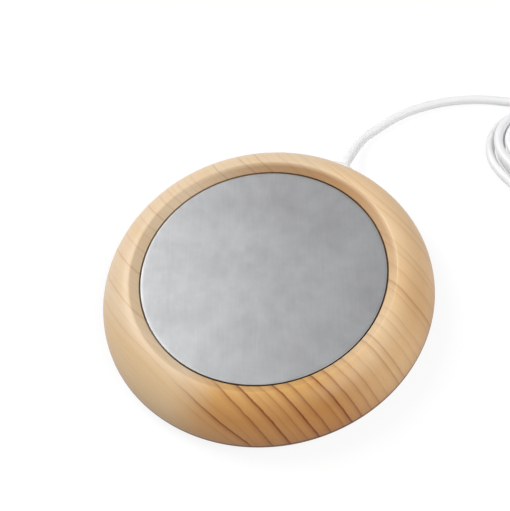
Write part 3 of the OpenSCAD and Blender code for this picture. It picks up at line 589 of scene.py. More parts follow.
# %% [markdown]
# ## The hot plate
#
# A disc of aluminium, 1.5 mm thick, with its upper edge broken by a fine radius. A round edge this
# small matters, because it draws the thin bright line round the plate. It is turned too. The three
# studs that the clamp below pulls on are part of it.

# %% Turn the plate
PLATE_R, PLATE_TOP, PLATE_BOTTOM = 40.8, 18, 16.5
PLATE_EDGE = 0.15
STUD_R, STUD_CIRCLE_R, STUD_END = 1.5, 29, 9.7


def joined(name, pieces):
    """Joins the pieces' meshes in one object."""
    tidy = bmesh.new()
    for piece in pieces:
        tidy.from_mesh(piece.data)
        bpy.data.objects.remove(piece)
    mesh = bpy.data.meshes.new(name)
    tidy.to_mesh(mesh)
    tidy.free()
    return new_object(name, mesh)


plate_outline = (
    [(PLATE_R, PLATE_BOTTOM)]
    + arc(PLATE_R - PLATE_EDGE, PLATE_TOP - PLATE_EDGE, PLATE_EDGE, 0, 90, 5)
    + [(PLATE_R * share, PLATE_TOP) for share in (0.97, 0.9, 0.6, 0.3, 0.02)])
plate_pieces = [turned("disc", plate_outline, steps=256)]
for third in range(3):
    stud_side = [(STUD_R - 0.3, STUD_END), (STUD_R, STUD_END + 0.3), (STUD_R, PLATE_BOTTOM)]
    stud = turned("stud", stud_side, 32)
    plate_pieces.append(moved(stud, spin(-90 + 120 * third) @ shift(STUD_CIRCLE_R)))
hot_plate = joined("brushed_plate", plate_pieces)
put(hot_plate, "plate_metal", "hot_plate")
print("plate", [round(x, 4) for x in hot_plate.dimensions])

# %% [markdown]
# ## The strain relief
#
# A moulded white collar fills the hole where the lead leaves the ring. Outside it is a low oval pad
# with soft edges. A neck passes through the wood, and a small flange holds it from inside. It is one
# closed loft along the lead: over the pad, down the neck, round the flange, and back through the bore.

# %% Loft the strain relief
COLLAR_FACE_Y = 57.2
COLLAR_EDGE = 0.9
NECK_START_Y = CAVITY_R - 0.2
FLANGE_T, FLANGE_OUT = 1.0, 0.3
MOUTH_FLARE = 0.5


def oval_at(y, inset=0.0):
    half_w, half_h = COLLAR_W / 2 - inset, COLLAR_H / 2 - inset
    return section_at(y, half_w, half_h, half_h - 0.01)


def round_at(y, radius):
    return section_at(y, radius, radius, radius - 0.005)


bore_r = CORD_R + SEAT
mouth_y = COLLAR_FACE_Y - MOUTH_FLARE
relief_loops = (
    [round_at(mouth_y + r, bore_r + z) for r, z in ((0, 0), (0.25, 0.05), (0.42, 0.18), (0.5, 0.45))]
    + [oval_at(y, COLLAR_EDGE - out)
       for out, y in arc(0, COLLAR_FACE_Y - COLLAR_EDGE, COLLAR_EDGE, 85, 0, 7)]
    + [oval_at(COLLAR_SEAT_Y), round_at(COLLAR_SEAT_Y, NECK_R),
       round_at(NECK_START_Y, NECK_R), round_at(NECK_START_Y, NECK_R + FLANGE_OUT),
       round_at(NECK_START_Y - FLANGE_T, NECK_R + FLANGE_OUT - 0.2),
       round_at(NECK_START_Y - FLANGE_T, bore_r)])
strain_relief = loft("collar_and_neck", relief_loops, close=True)
put(strain_relief, "boot", "strain_relief")

INNER_LEAD_START_Y = 26.5
inner_lead = swept("lead_inside", even_route(
    [Vector((0, INNER_LEAD_START_Y, EXIT_Z)), Vector(EXIT)], 2.0), CORD_R)
put(inner_lead, "cord", "cord_inner")
print("strain relief", len(strain_relief.data.vertices), "corners")

# %% [markdown]
# ## Feet
#
# Four soft pads keep the warmer from sliding. Each is a stamped disc of rubber with a rounded rim and
# a shallow ring pressed into its sole, so that it grips as a small cup. They lie in round seats of the
# base cover.

# %% Turn the feet
FOOT_R, FOOT_TOP, FOOT_CIRCLE_R = 5, 1.8, 34
foot_outline = [
    (1.4, 0.25), (1.7, 0.05), (1.9, 0), (3.4, 0), (3.6, 0.05), (3.75, 0.2), (3.95, 0.2), (4.1, 0.05),
    (4.3, 0), (FOOT_R - 0.35, 0.02), (FOOT_R - 0.1, 0.12), (FOOT_R, 0.35), (FOOT_R, FOOT_TOP)]
for number in range(1, 5):
    foot = turned(f"pad_{number}", foot_outline, steps=72)
    moved(foot, spin(90 * (number - 1)) @ shift(FOOT_CIRCLE_R))
    put(foot, "foot_rubber", f"foot_{number}")
print("4 feet")

# %% [markdown]
# ## The tie round the spare lead
#
# A strip of soft plastic strap closes round the waist of the bundle and sticks to itself on top. It is
# a rounded strap section carried round a rounded rectangle, plus the free end that lies over the join
# and lifts a little at its tip.

# %% Wrap the tie
TIE_W, TIE_T = 6, 0.7
TIE_FLARE = HANK_DRAW * TIE_W / HANK_RUN
SLIP = 0.2
tie_front = hank_radius(0.25) - HANK_DRAW + CORD_R + TIE_FLARE + SLIP
tie_back = hank_radius(0.75) - HANK_DRAW + CORD_R + TIE_FLARE + SLIP
TIE_INNER_H = LAYERS[1] - LAYERS[0] + CORD_D + 0.1 + SLIP
TIE_CORNER = 1.85
TIE_FRAME = Matrix.Translation(HANK_MIDDLE.to_3d()) @ spin(HANK_ANGLE)


def strap(name, line, ways, half_w, half_t, close):
    """A strap along a line in the (across, up) plane, with its outward ways."""
    loops = []
    for (y, z), (out_y, out_z) in zip(line, ways):
        loops.append([TIE_FRAME @ Vector((x, y + out_y * t, z + out_z * t))
                      for x, t in rounded(half_w, half_t, 0.3, 4)])
    return loft(name, loops, close)


tie_line, tie_ways = [], []
tie_half_y, tie_half_z = (tie_front + tie_back + TIE_T) / 2, (TIE_INNER_H + TIE_T) / 2
tie_middle_y, tie_middle_z = (tie_back - tie_front) / 2, TIE_T / 2 + tie_half_z
for corner, (sy, sz) in enumerate(CORNERS):
    for step in range(9):
        a = math.radians(corner * 90 + step * 90 / 8)
        out_y, out_z = math.cos(a), math.sin(a)
        tie_line.append((tie_middle_y + sy * (tie_half_y - TIE_CORNER) + TIE_CORNER * out_y,
                         tie_middle_z + sz * (tie_half_z - TIE_CORNER) + TIE_CORNER * out_z))
        tie_ways.append((out_y, out_z))
band = strap("band", tie_line, tie_ways, TIE_W / 2, TIE_T / 2, True)
tie_top = TIE_INNER_H + 2 * TIE_T
flap_line = [(-9, 0.02), (-5, 0), (0, 0), (4, 0), (7, 0.05), (8.6, 0.25), (9.6, 0.6)]
flap = strap("flap", [(y, tie_top + TIE_T / 2 + z) for y, z in flap_line], [(0, 1)] * len(flap_line),
             TIE_W / 2 - 0.2, TIE_T / 2 - 0.02, False)
tie = joined("tie_strap", [band, flap])
put(tie, "tie", "hank_tie")
print("tie", round(tie_top, 1), "mm high")

# %% [markdown]
# ## The switch on the lead
#
# A small white case snaps round the lead: two moulded half shells that meet on the lead's centreline,
# held by two screws from below. Each shell is one loft, so its outside, its rim and its hollow inside
# are one closed skin with an even wall. The top shell's loft runs in through the rocker's window. The
# holes for the lead, the pin and the screws are cut afterwards.

# %% Loft the two half shells
CASE_HALF_L, CASE_HALF_W, CASE_H = SWITCH_HALF_L, 7, 11
CASE_CORNER_R, CASE_WALL = 3, 1.4
TOP_ROUND, BOTTOM_ROUND, SEAM_ROUND = 1.3, 0.7, 0.15
WINDOW_HALF_L, WINDOW_HALF_W, WINDOW_CORNER_R = 7.5, 4.3, 0.6


def plan_at(z, inset=0.0):
    """The case's outline at a height, drawn in by inset."""
    points = rounded(CASE_HALF_L - inset, CASE_HALF_W - inset, max(0.3, CASE_CORNER_R - inset))
    return [(x, y, z) for x, y in points]


def rows_of_arc(radius, start, end, steps):
    """(inset, height) steps of a rounded edge whose face stands at height 0."""
    return [(radius - x, z - radius) for x, z in arc(0, 0, radius, start, end, steps)]


top_loops = [plan_at(SWITCH_Z, SEAM_ROUND), plan_at(SWITCH_Z + SEAM_ROUND)]
top_loops += [plan_at(CASE_H + z, inset) for inset, z in rows_of_arc(TOP_ROUND, 0, 90, 7)]
for out, z in ((0.25, CASE_H), (0.07, CASE_H - 0.07), (0, CASE_H - 0.25), (0, CASE_H - CASE_WALL)):
    window = rounded(WINDOW_HALF_L + out, WINDOW_HALF_W + out, WINDOW_CORNER_R + out)
    top_loops.append([(x, y, z) for x, y in window])
top_loops += [plan_at(CASE_H - CASE_WALL, CASE_WALL), plan_at(SWITCH_Z, CASE_WALL)]
top_shell = loft("case_top", top_loops, close=True)
bottom_loops = [plan_at(CASE_WALL, CASE_WALL), plan_at(SWITCH_Z, CASE_WALL),
                plan_at(SWITCH_Z, SEAM_ROUND), plan_at(SWITCH_Z - SEAM_ROUND)]
bottom_loops += [plan_at(-z, inset) for inset, z in rows_of_arc(BOTTOM_ROUND, 0, 90, 5)]
bottom_shell = loft("case_bottom", bottom_loops)
print("shells of", len(top_loops), "and", len(bottom_loops), "loops")

# %% Give the shells their posts and holes
PIVOT_Z, PIN_R, PIN_HALF_L = 8.6, 0.8, 6.3
POST_PLACES = ((12.4, 4), (-12.4, -4))
POST_R, POST_SINK, CASE_SCREW_R, CASE_SCREW_HEAD_R = 2, 0.1, 0.9, 1.4
NECK_HOLE_R = 2.6
WALL_LEFT = 0.3


def rod(radius, low, high, place=None, steps=32):
    """A plain round rod along Z, moved to its place."""
    piece = turned("rod", [(radius, low), (radius, high)], steps)
    return moved(piece, place) if place else piece


for x, y in POST_PLACES:
    place = shift(x, y)
    combined(top_shell, rod(POST_R, SWITCH_Z, CASE_H - CASE_WALL + POST_SINK, place), "UNION")
    combined(bottom_shell, rod(POST_R, CASE_WALL - POST_SINK, SWITCH_Z, place), "UNION")
    cut_away(top_shell, rod(CASE_SCREW_R, SWITCH_Z - 1, CASE_H - CASE_WALL - WALL_LEFT, place))
    cut_away(bottom_shell, rod(CASE_SCREW_R + SLIP, -1, SWITCH_Z + 1, place))
    cut_away(bottom_shell, rod(CASE_SCREW_HEAD_R + SLIP / 2, -1, CASE_WALL, place))
for shell in (top_shell, bottom_shell):
    for low, high in ((-CASE_HALF_L - 1, -CASE_HALF_L + CASE_WALL + 0.5),
                      (CASE_HALF_L - CASE_WALL - 0.5, CASE_HALF_L + 1)):
        cut_away(shell, rod(NECK_HOLE_R, low, high, shift(0, 0, SWITCH_Z) @ spin(90, "Y"), 48))
along_pin = shift(0, 0, PIVOT_Z) @ spin(-90, "X")
cut_away(top_shell, rod(PIN_R + SEAT, -PIN_HALF_L, PIN_HALF_L, along_pin))


def in_metres_frame(frame_mm):
    """The same move with its shift in metres."""
    out = frame_mm.copy()
    out.translation *= MM
    return out


for shell, node in ((top_shell, "switch_top_shell"), (bottom_shell, "switch_bottom_shell")):
    moved(shell, in_metres_frame(SWITCH))
    put(shell, "case_plastic", node)
print("shells", len(top_shell.data.vertices), "and", len(bottom_shell.data.vertices), "corners")

# %% [markdown]
# ## The rocker
#
# The rocker dips in the middle and rises to both ends, so that a thumb finds it. A bar stands for on
# and a ring for off, as on any such switch. Its side view is swept across, its edges are rounded by a
# bevel, and the pin's bore and the two marks are cut in. It rides on its own body, which turns on the
# pin.

# %% Shape the rocker
ROCKER_HALF_L, ROCKER_HALF_W, DISH_HALF_L = 6.7, 3.8, 6.4
PIN_PLAY = 0.03


def rounded_edges(piece, width, steps=2):
    """Rounds every edge that is clearly bent."""
    shape = bmesh.new()
    shape.from_mesh(piece.data)
    bent = [e for e in shape.edges if len(e.link_faces) == 2 and e.calc_face_angle(0) > SHARP_ANGLE]
    bmesh.ops.bevel(shape, geom=bent, offset=width * MM, segments=steps, profile=0.5, affect="EDGES",
                    clamp_overlap=True)
    shape.to_mesh(piece.data)
    shape.free()
    shade(piece.data)


def dish(x):
    """The height of the dished face above the pin."""
    return 1.85 + 0.95 * (abs(x) / DISH_HALF_L) ** 1.5


face_x = (-5.4, -4.2, -3, -1.8, -0.8, 0, 0.8, 1.8, 3, 4.2, 5.4)
rocker_side = (
    [(-ROCKER_HALF_L, 2.5), (-DISH_HALF_L, 2.8)] + [(x, dish(x)) for x in face_x]
    + [(DISH_HALF_L, 2.8), (ROCKER_HALF_L, 2.5), (ROCKER_HALF_L, 0.4), (2.2, -1.4), (1.2, -3.2),
       (-1.2, -3.2), (-2.2, -1.4), (-ROCKER_HALF_L, 0.4)])
rocker = loft("rocker_key", [
    [(x, y, z) for x, z in rocker_side] for y in (-ROCKER_HALF_W, ROCKER_HALF_W)])
rounded_edges(rocker, 0.18)
cut_away(rocker, rod(PIN_R + PIN_PLAY, -5, 5, spin(-90, "X")))
print("rocker before its marks", len(rocker.data.vertices), "corners")

# %% Mark the rocker and set it on its body
ROCKER_REST = -10
MARK_X, MARK_DEPTH = 3.8, 0.25
DISH_SLOPE = math.atan(0.9 / (ROCKER_HALF_L - 0.9))


def mark_on(side):
    """Where a mark's floor lies on the dished face."""
    height = dish(MARK_X) - MARK_DEPTH
    tilt = Matrix.Rotation(-side * DISH_SLOPE, 4, "Y")
    return shift(side * MARK_X, 0, height) @ tilt


cut_away(rocker, moved(prism("bar_mark", rounded(0.2, 1.1, 0.15), (0, 1.5)), mark_on(1)))
ring_mark = turned("ring_mark", [(0.75, 0), (1.15, 0), (1.15, 1.5), (0.75, 1.5)], 48, close=True)
cut_away(rocker, moved(ring_mark, mark_on(-1)))
moved(rocker, in_metres_frame(SWITCH) @ shift(0, 0, PIVOT_Z) @ spin(ROCKER_REST, "Y"))
put(rocker, "case_plastic", "switch_rocker", body="rocker")
print("rocker", len(rocker.data.vertices), "corners")

# %% [markdown]
# ## Boots and the plug's grip
#
# Where the lead enters the switch and the plug it would soon break, so each has a short ribbed boot,
# thick at its root and thinning to the lead. A boot is turned, with grooves that let it bend. The
# plug's grip is a moulded block with soft edges and four finger grooves on each face.

# %% Turn the boots
def boot_outline(length, root_r, tip_r, grooves=3):
    """(radius, place) from the root at 0 to the tip, with rounded ribs between the grooves."""
    points = [(root_r - 0.15, 0), (root_r, 0.12)]
    for i in range(1, grooves + 1):
        middle = i * length / 4
        rib_r = root_r + (tip_r - root_r) * middle / length
        deep_r = tip_r - 0.15
        points += [(rib_r + 0.05, middle - 0.45), (rib_r - 0.12, middle - 0.32), (deep_r, middle - 0.2),
                   (deep_r, middle + 0.2), (rib_r - 0.16, middle + 0.32), (rib_r - 0.04, middle + 0.45)]
    points += [(tip_r + 0.03, length - 0.4), (tip_r - 0.08, length - 0.12), (tip_r - 0.3, length)]
    return points


def switch_boot(name, way):
    """A switch boot with the neck and flange that hold it in the case's wall."""
    neck = [(NECK_HOLE_R + 0.3, -CASE_WALL - 1.2), (NECK_HOLE_R + 0.5, -CASE_WALL - 1.0),
            (NECK_HOLE_R + 0.5, -CASE_WALL), (NECK_HOLE_R - SEAT, -CASE_WALL), (NECK_HOLE_R - SEAT, 0)]
    piece = turned(name, neck + boot_outline(SWITCH_BOOT_L, 3, 2.2), steps=64)
    moved(piece, shift(way * CASE_HALF_L, 0, SWITCH_Z) @ spin(90 * way, "Y"))
    return moved(piece, in_metres_frame(SWITCH))


PLUG_BOOT_L = 10
boot_in = switch_boot("boot_in", -1)
boot_out = switch_boot("boot_out", 1)
boot_plug = turned("boot_plug", boot_outline(PLUG_BOOT_L, 3.2, 2.2), steps=64)
moved(boot_plug, shift(PLUG_BOOT_L) @ spin(-90, "Y"))
moved(boot_plug, in_metres_frame(PLUG))
put(boot_in, "boot", "switch_boot_in")
put(boot_out, "boot", "switch_boot_out")
put(boot_plug, "boot", "plug_boot")
print("3 boots")

# %% Mould the plug's grip
GRIP_HALF_W, GRIP_HALF_H, GRIP_L, GRIP_CORNER_R = 7.8, 3.8, 24, 2
GRIP_ROUND = 0.9
GROOVE_DEPTH, GROOVE_STEP, GROOVES_FROM = 0.35, 2, 4


def grip_at(x, inset=0.0):
    corner = max(0.3, GRIP_CORNER_R - inset)
    return [(x, y, z) for y, z in rounded(GRIP_HALF_W - inset, GRIP_HALF_H - inset, corner)]


grip = loft("grip", [
    grip_at(PLUG_BOOT_L - x, inset) for inset, x in rows_of_arc(GRIP_ROUND, 90, 0, 6)
] + [grip_at(PLUG_BOOT_L + GRIP_L + x, inset) for inset, x in rows_of_arc(GRIP_ROUND / 2, 0, 90, 4)])
for side in (-1, 1):
    for i in range(4):
        groove = prism("groove", rounded(0.4, 4.5, 0.38), (0, 1))
        face_z = GRIP_HALF_H - GROOVE_DEPTH if side > 0 else -GRIP_HALF_H + GROOVE_DEPTH - 1
        cut_away(grip, moved(groove, shift(PLUG_BOOT_L + GROOVES_FROM + i * GROOVE_STEP, 0, face_z)))
moved(grip, in_metres_frame(PLUG))
put(grip, "case_plastic", "plug_grip")
print("grip", [round(x * 1000, 1) for x in grip.dimensions], "mm")

# %% [markdown]
# ## The lead's two stretches
#
# The two tubes are soft lead. The first stretch ends in the switch, and the second starts there and
# ends in the plug. Together with the switch they are about a metre, which is usual for a desk
# warmer.


# %% [markdown]
# ## Effects that the finishes share
#
# Most finishes need the same few effects at different scales: soft patches of tone, a fine moulded
# grain, and the short scratches of brushing. Each is built once as a node group, and every material
# sets its own scale on it. All of them work from the piece's own coordinates in metres, so a size in
# a group is a true size on the object.

# %% Helpers for node groups
def new_group(name, inputs, outputs):
    """An empty node group, with its inputs, its output and the piece's own place."""
    group = bpy.data.node_groups.new(name, "ShaderNodeTree")
    for label, default in inputs:
        kind = "NodeSocketVector" if isinstance(default, tuple) else "NodeSocketFloat"
        socket = group.interface.new_socket(name=label, in_out="INPUT", socket_type=kind)
        socket.default_value = default
    for label in outputs:
        group.interface.new_socket(name=label, in_out="OUTPUT", socket_type="NodeSocketFloat")
    given = group.nodes.new("NodeGroupInput").outputs
    here = add_node(group, "TexCoord").outputs["Object"]
    return group, given, group.nodes.new("NodeGroupOutput").inputs[outputs[0]], here


def use_group(tree, group, **values):
    """Places a group in a material and gives it its values, which may be links."""
    node = tree.nodes.new("ShaderNodeGroup")
    node.node_tree = group
    for name, value in values.items():
        socket = node.inputs[name.replace("_", " ").capitalize()]
        if isinstance(value, bpy.types.NodeSocket):
            tree.links.new(value, socket)
        else:
            socket.default_value = value
    return node


print("group helpers ready")

# %% Patches
# Soft clouds of tone, whose size is in metres
patches, given, result, here = new_group("patches", [("Size", 0.01), ("Softness", 0.35)], ["Mask"])
cloud = add_node(patches, "TexNoise", {
    "Vector": here, "Scale": maths(patches, "DIVIDE", 1, given["Size"]), "Detail": 4,
    "Roughness": 0.55})
low = maths(patches, "SUBTRACT", 0.5, given["Softness"])
high = maths(patches, "ADD", 0.5, given["Softness"])
patches.links.new(scaled(patches, cloud.outputs["Fac"], low, high), result)
print("patches with", len(patches.nodes), "nodes")

# %% Moulded grain
# The fine even pebbling that a spark-eroded mould leaves
SPECK_SHARE = 0.6

grain, given, result, here = new_group("moulded_grain", [("Size", 0.0004)], ["Height"])
per_metre = maths(grain, "DIVIDE", 1, given["Size"])
pebbles = add_node(grain, "TexVoronoi", {"Vector": here, "Scale": per_metre}, feature="SMOOTH_F1")
specks = add_node(grain, "TexNoise", {"Vector": here, "Scale": per_metre, "Detail": 2})
height = maths(grain, "MULTIPLY_ADD", specks.outputs["Fac"], SPECK_SHARE, pebbles.outputs["Distance"])
grain.links.new(height, result)
print("grain with", len(grain.nodes), "nodes")

# %% Brushing
# Short fine scratches along one level direction, given as an angle in radians
brushing, given, result, here = new_group(
    "brushing", [("Angle", 0.0), ("Width", 0.0003), ("Length", 0.006)], ["Scratches"])
turn = add_node(brushing, "VectorRotate", {
    "Vector": here, "Angle": maths(brushing, "MULTIPLY", given["Angle"], -1)}, rotation_type="Z_AXIS")
turned_place = add_node(brushing, "SeparateXYZ", {"Vector": turn.outputs[0]}).outputs
stretched = add_node(brushing, "CombineXYZ", {
    axis: maths(brushing, "DIVIDE", turned_place[axis], given[size])
    for axis, size in (("X", "Length"), ("Y", "Width"), ("Z", "Width"))})
scratch = add_node(brushing, "TexNoise", {
    "Vector": stretched.outputs[0], "Scale": 1, "Detail": 3, "Roughness": 0.6})
brushing.links.new(scratch.outputs["Fac"], result)
print("groups:", [g.name for g in bpy.data.node_groups])

# %% [markdown]
# ## Varnished softwood
#
# The ring is cut from one board, so its figure is a set of nearly flat growth layers that the turned
# surface slices through. Painting lines on the surface would never close up right from all sides.
# Here the layers run through space instead, and the colour of a point comes from its depth across
# them. Each year darkens slowly and ends in a sharp brown late line. The lines that stand out have
# their own places, and faint ones fill the gaps.

# %% Places of the late lines, in millimetres across the layers
STRONG, MIDDLE, WEAK, FAINT = 0.95, 0.65, 0.38, 0.16
HEART_PLACES = {
    STRONG: (-48.4, -34.6, -26, -14.5), MIDDLE: (-39.4, -22, -10.5),
    WEAK: (-29.5, -17.5, -6.5, -3, 6.5, 9.5, 29.5)}
SAP_PLACES = {
    MIDDLE: (-41, -31, -10.5, 18, 27, 32),
    WEAK: (-48.4, -24, -15.5, -5, -1, 3.5, 9, 38.5, 44, 49)}
FAINT_FROM, FAINT_COUNT, FAINT_STEP, FAINT_STRAY, FAINT_APART = -52, 26, 4.1, 1.3, 1.8


def with_faint(places):
    """(place, darkness) of the named lines and of faint ones in the gaps between them."""
    lines = [(place, dark) for dark, some in places.items() for place in some]
    for i in range(FAINT_COUNT):
        place = FAINT_FROM + FAINT_STEP * i + FAINT_STRAY * math.sin(2.4 * i)
        if all(abs(place - other) > FAINT_APART for other, dark in lines):
            lines.append((place, FAINT))
    return sorted(lines)


heart_lines, sap_lines = with_faint(HEART_PLACES), with_faint(SAP_PLACES)
print(len(heart_lines), "lines in the heartwood and", len(sap_lines), "in the sapwood")

# %% From a depth to a tone
SLOW_SIDE, CORE, SHARP_SIDE = 2.0, 0.6, 0.3
LINE_GAP, RAMP_END = 0.05, 0.5
LINES_A_RAMP = 6


def ramp(tree, value, low, high, stops, interpolation="LINEAR"):
    """Looks up value between low and high in a list of (place, height) stops."""
    node = add_node(tree, "ValToRGB", {"Fac": scaled(tree, value, low, high)})
    node.color_ramp.interpolation = interpolation
    elements = node.color_ramp.elements
    while len(elements) < len(stops):
        elements.new(0.5)
    stops = sorted(stops)
    for element, (place, _) in zip(elements, stops):
        element.position = (place - low) / (high - low)
    for element, (_, height) in zip(elements, stops):
        element.color = (height, height, height, 1)
    return node.outputs["Color"]


def late_lines(tree, depth, lines, slow):
    """Lines that darken slowly to a share and end sharply. A ramp stays sharp if few share it."""
    found = None
    for first in range(0, len(lines), LINES_A_RAMP):
        some = lines[first:first + LINES_A_RAMP]
        low, high = some[0][0] - SLOW_SIDE - RAMP_END, some[-1][0] + SHARP_SIDE + RAMP_END
        stops, before = [(low, 0)], low
        for place, dark in some:
            start = max(place - SLOW_SIDE, before + LINE_GAP)
            stops += [(start, 0), (place - CORE, dark * slow), (place - CORE / 2, dark), (place, dark)]
            before = place + SHARP_SIDE
            stops.append((before, 0))
        part = ramp(tree, depth, low, high, stops)
        found = part if found is None else maths(tree, "MAXIMUM", found, part)
    return found


print("a late line is", round(SLOW_SIDE + SHARP_SIDE, 1), "mm from start to end")

# %% [markdown]
# ## Depth and fibres
#
# The layers stand nearly upright, slant back to the right, and lean more at the left and in front.
# Real ones are never quite flat, so a long noise and a short one push the depth about. The fibres
# are thin noise stretched along the board. A picture of wood could give all this too, but it would
# pull out of shape over the curve, while depth and fibres stay true on every side.

# %% Depth across the layers, in millimetres
LAYER_SLANT = 0.37
LEAN_LEFT, LEAN_RIGHT, LEVEL = 0.5, 0.15, 18
LEANS_TO_LEFT, LEANS_IN_FRONT = (-20, 0), (-40, -43.5)
LINE_WANDER, LINE_RIPPLE = 1.4, 0.6
WANDERS_A_MM, RIPPLES_A_MM = 0.045, 0.3


def strayed(tree, value, noise, most):
    """Adds a noise about its middle, times most."""
    off = maths(tree, "SUBTRACT", noise.outputs["Fac"], 0.5)
    return maths(tree, "MULTIPLY_ADD", off, most, value)


wood, tree, out = empty_material("varnished_wood")
metres = add_node(tree, "TexCoord").outputs["Object"]
place = add_node(tree, "VectorMath", {0: metres, "Scale": 1 / MM}, operation="SCALE").outputs[0]
x, y, z = add_node(tree, "SeparateXYZ", {"Vector": place}).outputs
wander = add_node(tree, "TexNoise", {"Vector": place, "Scale": WANDERS_A_MM, "Detail": 2})
ripple = add_node(tree, "TexNoise", {
    "Vector": place, "Scale": RIPPLES_A_MM, "Detail": 3, "Roughness": 0.6})
depth = maths(tree, "MULTIPLY_ADD", x, LAYER_SLANT, y)
lean = maths(tree, "MAXIMUM", scaled(tree, x, *LEANS_TO_LEFT, LEAN_LEFT, LEAN_RIGHT),
             scaled(tree, depth, *LEANS_IN_FRONT, LEAN_RIGHT, LEAN_LEFT))
depth = maths(tree, "MULTIPLY_ADD", maths(tree, "SUBTRACT", z, LEVEL), lean, depth)
depth = strayed(tree, strayed(tree, depth, wander, LINE_WANDER), ripple, LINE_RIPPLE)
print("depth takes", len(tree.nodes), "nodes")

# %% Fibres along the board
FIBRE_WAY, BOARD_WAY = (0.938, -0.347, 0.0), (0.05, 0.14, 0.989)
FIBRES_ALONG, FIBRES_ACROSS, FIBRES_THROUGH = 0.05, 2.6, 0.5


def dotted(tree, vector, way):
    node = add_node(tree, "VectorMath", {0: vector, 1: way}, operation="DOT_PRODUCT")
    return node.outputs["Value"]


fibre_place = add_node(tree, "CombineXYZ", {
    axis: maths(tree, "MULTIPLY", way, often) for axis, way, often in (
        ("X", dotted(tree, place, FIBRE_WAY), FIBRES_ALONG), ("Y", depth, FIBRES_ACROSS),
        ("Z", dotted(tree, place, BOARD_WAY), FIBRES_THROUGH))})
fibres = add_node(tree, "TexNoise", {
    "Vector": fibre_place.outputs[0], "Scale": 1.0, "Detail": 5, "Roughness": 0.62, "Distortion": 0.25})
fibre = fibres.outputs["Fac"]
print("a fibre is", round(1 / FIBRES_ACROSS, 2), "mm wide and", round(1 / FIBRES_ALONG), "mm long")

# %% [markdown]
# ## The board's colours
#
# The board has pale sapwood to the left and redder heartwood to the right, with a soft border. Each
# mixes a light and a dark tone by depth. The heartwood is also lighter on the crest and darker down
# the outer side: partly its own tone, and partly a painted highlight on the crest and painted shade
# on the side. A late line could be mixed in as a colour of its own, but here it multiplies the
# wood's colour, as the real one does, so it stays part of the wood. Painted shade darkens the wood
# under the widest place and low on its side, and makes the slope behind the plate browner.

# %% Sapwood and heartwood
SAP_LIGHT, SAP_DARK = (0.755, 0.58, 0.395), (0.74, 0.525, 0.305)
# The crest's tones are lighter partly as a painted highlight, and the side's darker partly as painted
# shade; the rest is the heartwood's own tone.
LIT_CREST_LIGHT, LIT_CREST_DARK = (0.84, 0.62, 0.39), (0.64, 0.335, 0.07)
SHADED_SIDE_LIGHT, SHADED_SIDE_DARK = (0.80, 0.53, 0.28), (0.50, 0.195, 0.03)
HEART_BANDS = [
    (-56, 0.55), (-44, 0.85), (-34, 0.7), (-18, 0.92), (-7, 0.48), (5, 0.15), (19, 0), (30, 0.42),
    (42, 0), (56, 0)]
HEART_WANDER, HEART_FADE = 14, (-9, 13)
SAP_BANDS_A_MM, SAP_BAND_FADE, SAP_FRONT = 0.12, (0.4, 0.9), (-44, -52)
CREST_TO_SHADE_FADE = (43.5, 52)

heart_edge = strayed(tree, x, wander, HEART_WANDER)
heart = scaled(tree, heart_edge, *HEART_FADE, kind="SMOOTHSTEP")
bands = ramp(tree, depth, HEART_BANDS[0][0], HEART_BANDS[-1][0], HEART_BANDS, "B_SPLINE")
sap_bands = add_node(tree, "TexNoise", {"Vector": add_node(tree, "CombineXYZ", {
    "X": maths(tree, "MULTIPLY", depth, SAP_BANDS_A_MM)}).outputs[0], "Scale": 1.0, "Detail": 2})
sap_tone = maths(tree, "MAXIMUM", scaled(tree, sap_bands.outputs["Fac"], *SAP_BAND_FADE),
                 scaled(tree, depth, *SAP_FRONT))
sap_colour = blended(tree, sap_tone, SAP_LIGHT, SAP_DARK)
inward = add_node(tree, "VectorMath", {0: place, 1: (1, 1, 0)}, operation="MULTIPLY").outputs[0]
radius = add_node(tree, "VectorMath", {0: inward}, operation="LENGTH").outputs["Value"]
# From the crest (0) to the outer side (1): painted light on the crest, painted shade down the side.
shaded_side = scaled(tree, radius, *CREST_TO_SHADE_FADE)
heart_colour = blended(tree, bands, blended(tree, shaded_side, LIT_CREST_LIGHT, SHADED_SIDE_LIGHT),
                       blended(tree, shaded_side, LIT_CREST_DARK, SHADED_SIDE_DARK))
print("colours of the board:", len(tree.nodes), "nodes so far")

# %% Late lines and fibres over the colours
HEART_LATE, SAP_LATE = (0.36, 0.13, 0.025), (0.45, 0.25, 0.10)
HEART_SLOW, SAP_SLOW, SAP_SHARE = 0.42, 0.12, 0.42
LINE_STREAKS = (0.25, 0.75, 0.7, 1.15)
FIBRE_MIDDLE = (0.3, 0.7)
FIBRE_TONES = (("X", 0.955, 1.03), ("Y", 0.935, 1.04), ("Z", 0.9, 1.05))


def toned(tree, share, colour, tone):
    """Multiplies a share of a colour by a tone."""
    return blended(tree, share, colour, blended(tree, 1.0, colour, tone, "MULTIPLY"))


heart_line = late_lines(tree, depth, heart_lines, HEART_SLOW)
sap_line = maths(tree, "MULTIPLY", late_lines(tree, depth, sap_lines, SAP_SLOW), SAP_SHARE)
streaky = scaled(tree, fibre, *LINE_STREAKS)
heart_colour = toned(tree, maths(tree, "MULTIPLY", heart_line, streaky), heart_colour, HEART_LATE)
sap_colour = toned(tree, maths(tree, "MULTIPLY", sap_line, streaky), sap_colour, SAP_LATE)
colour = blended(tree, heart, sap_colour, heart_colour)
fibre_tone = add_node(tree, "CombineXYZ", {
    channel: scaled(tree, fibre, *FIBRE_MIDDLE, low, high) for channel, low, high in FIBRE_TONES})
colour = blended(tree, 1.0, colour, fibre_tone.outputs[0], "MULTIPLY")
print("lines and fibres:", len(tree.nodes), "nodes so far")

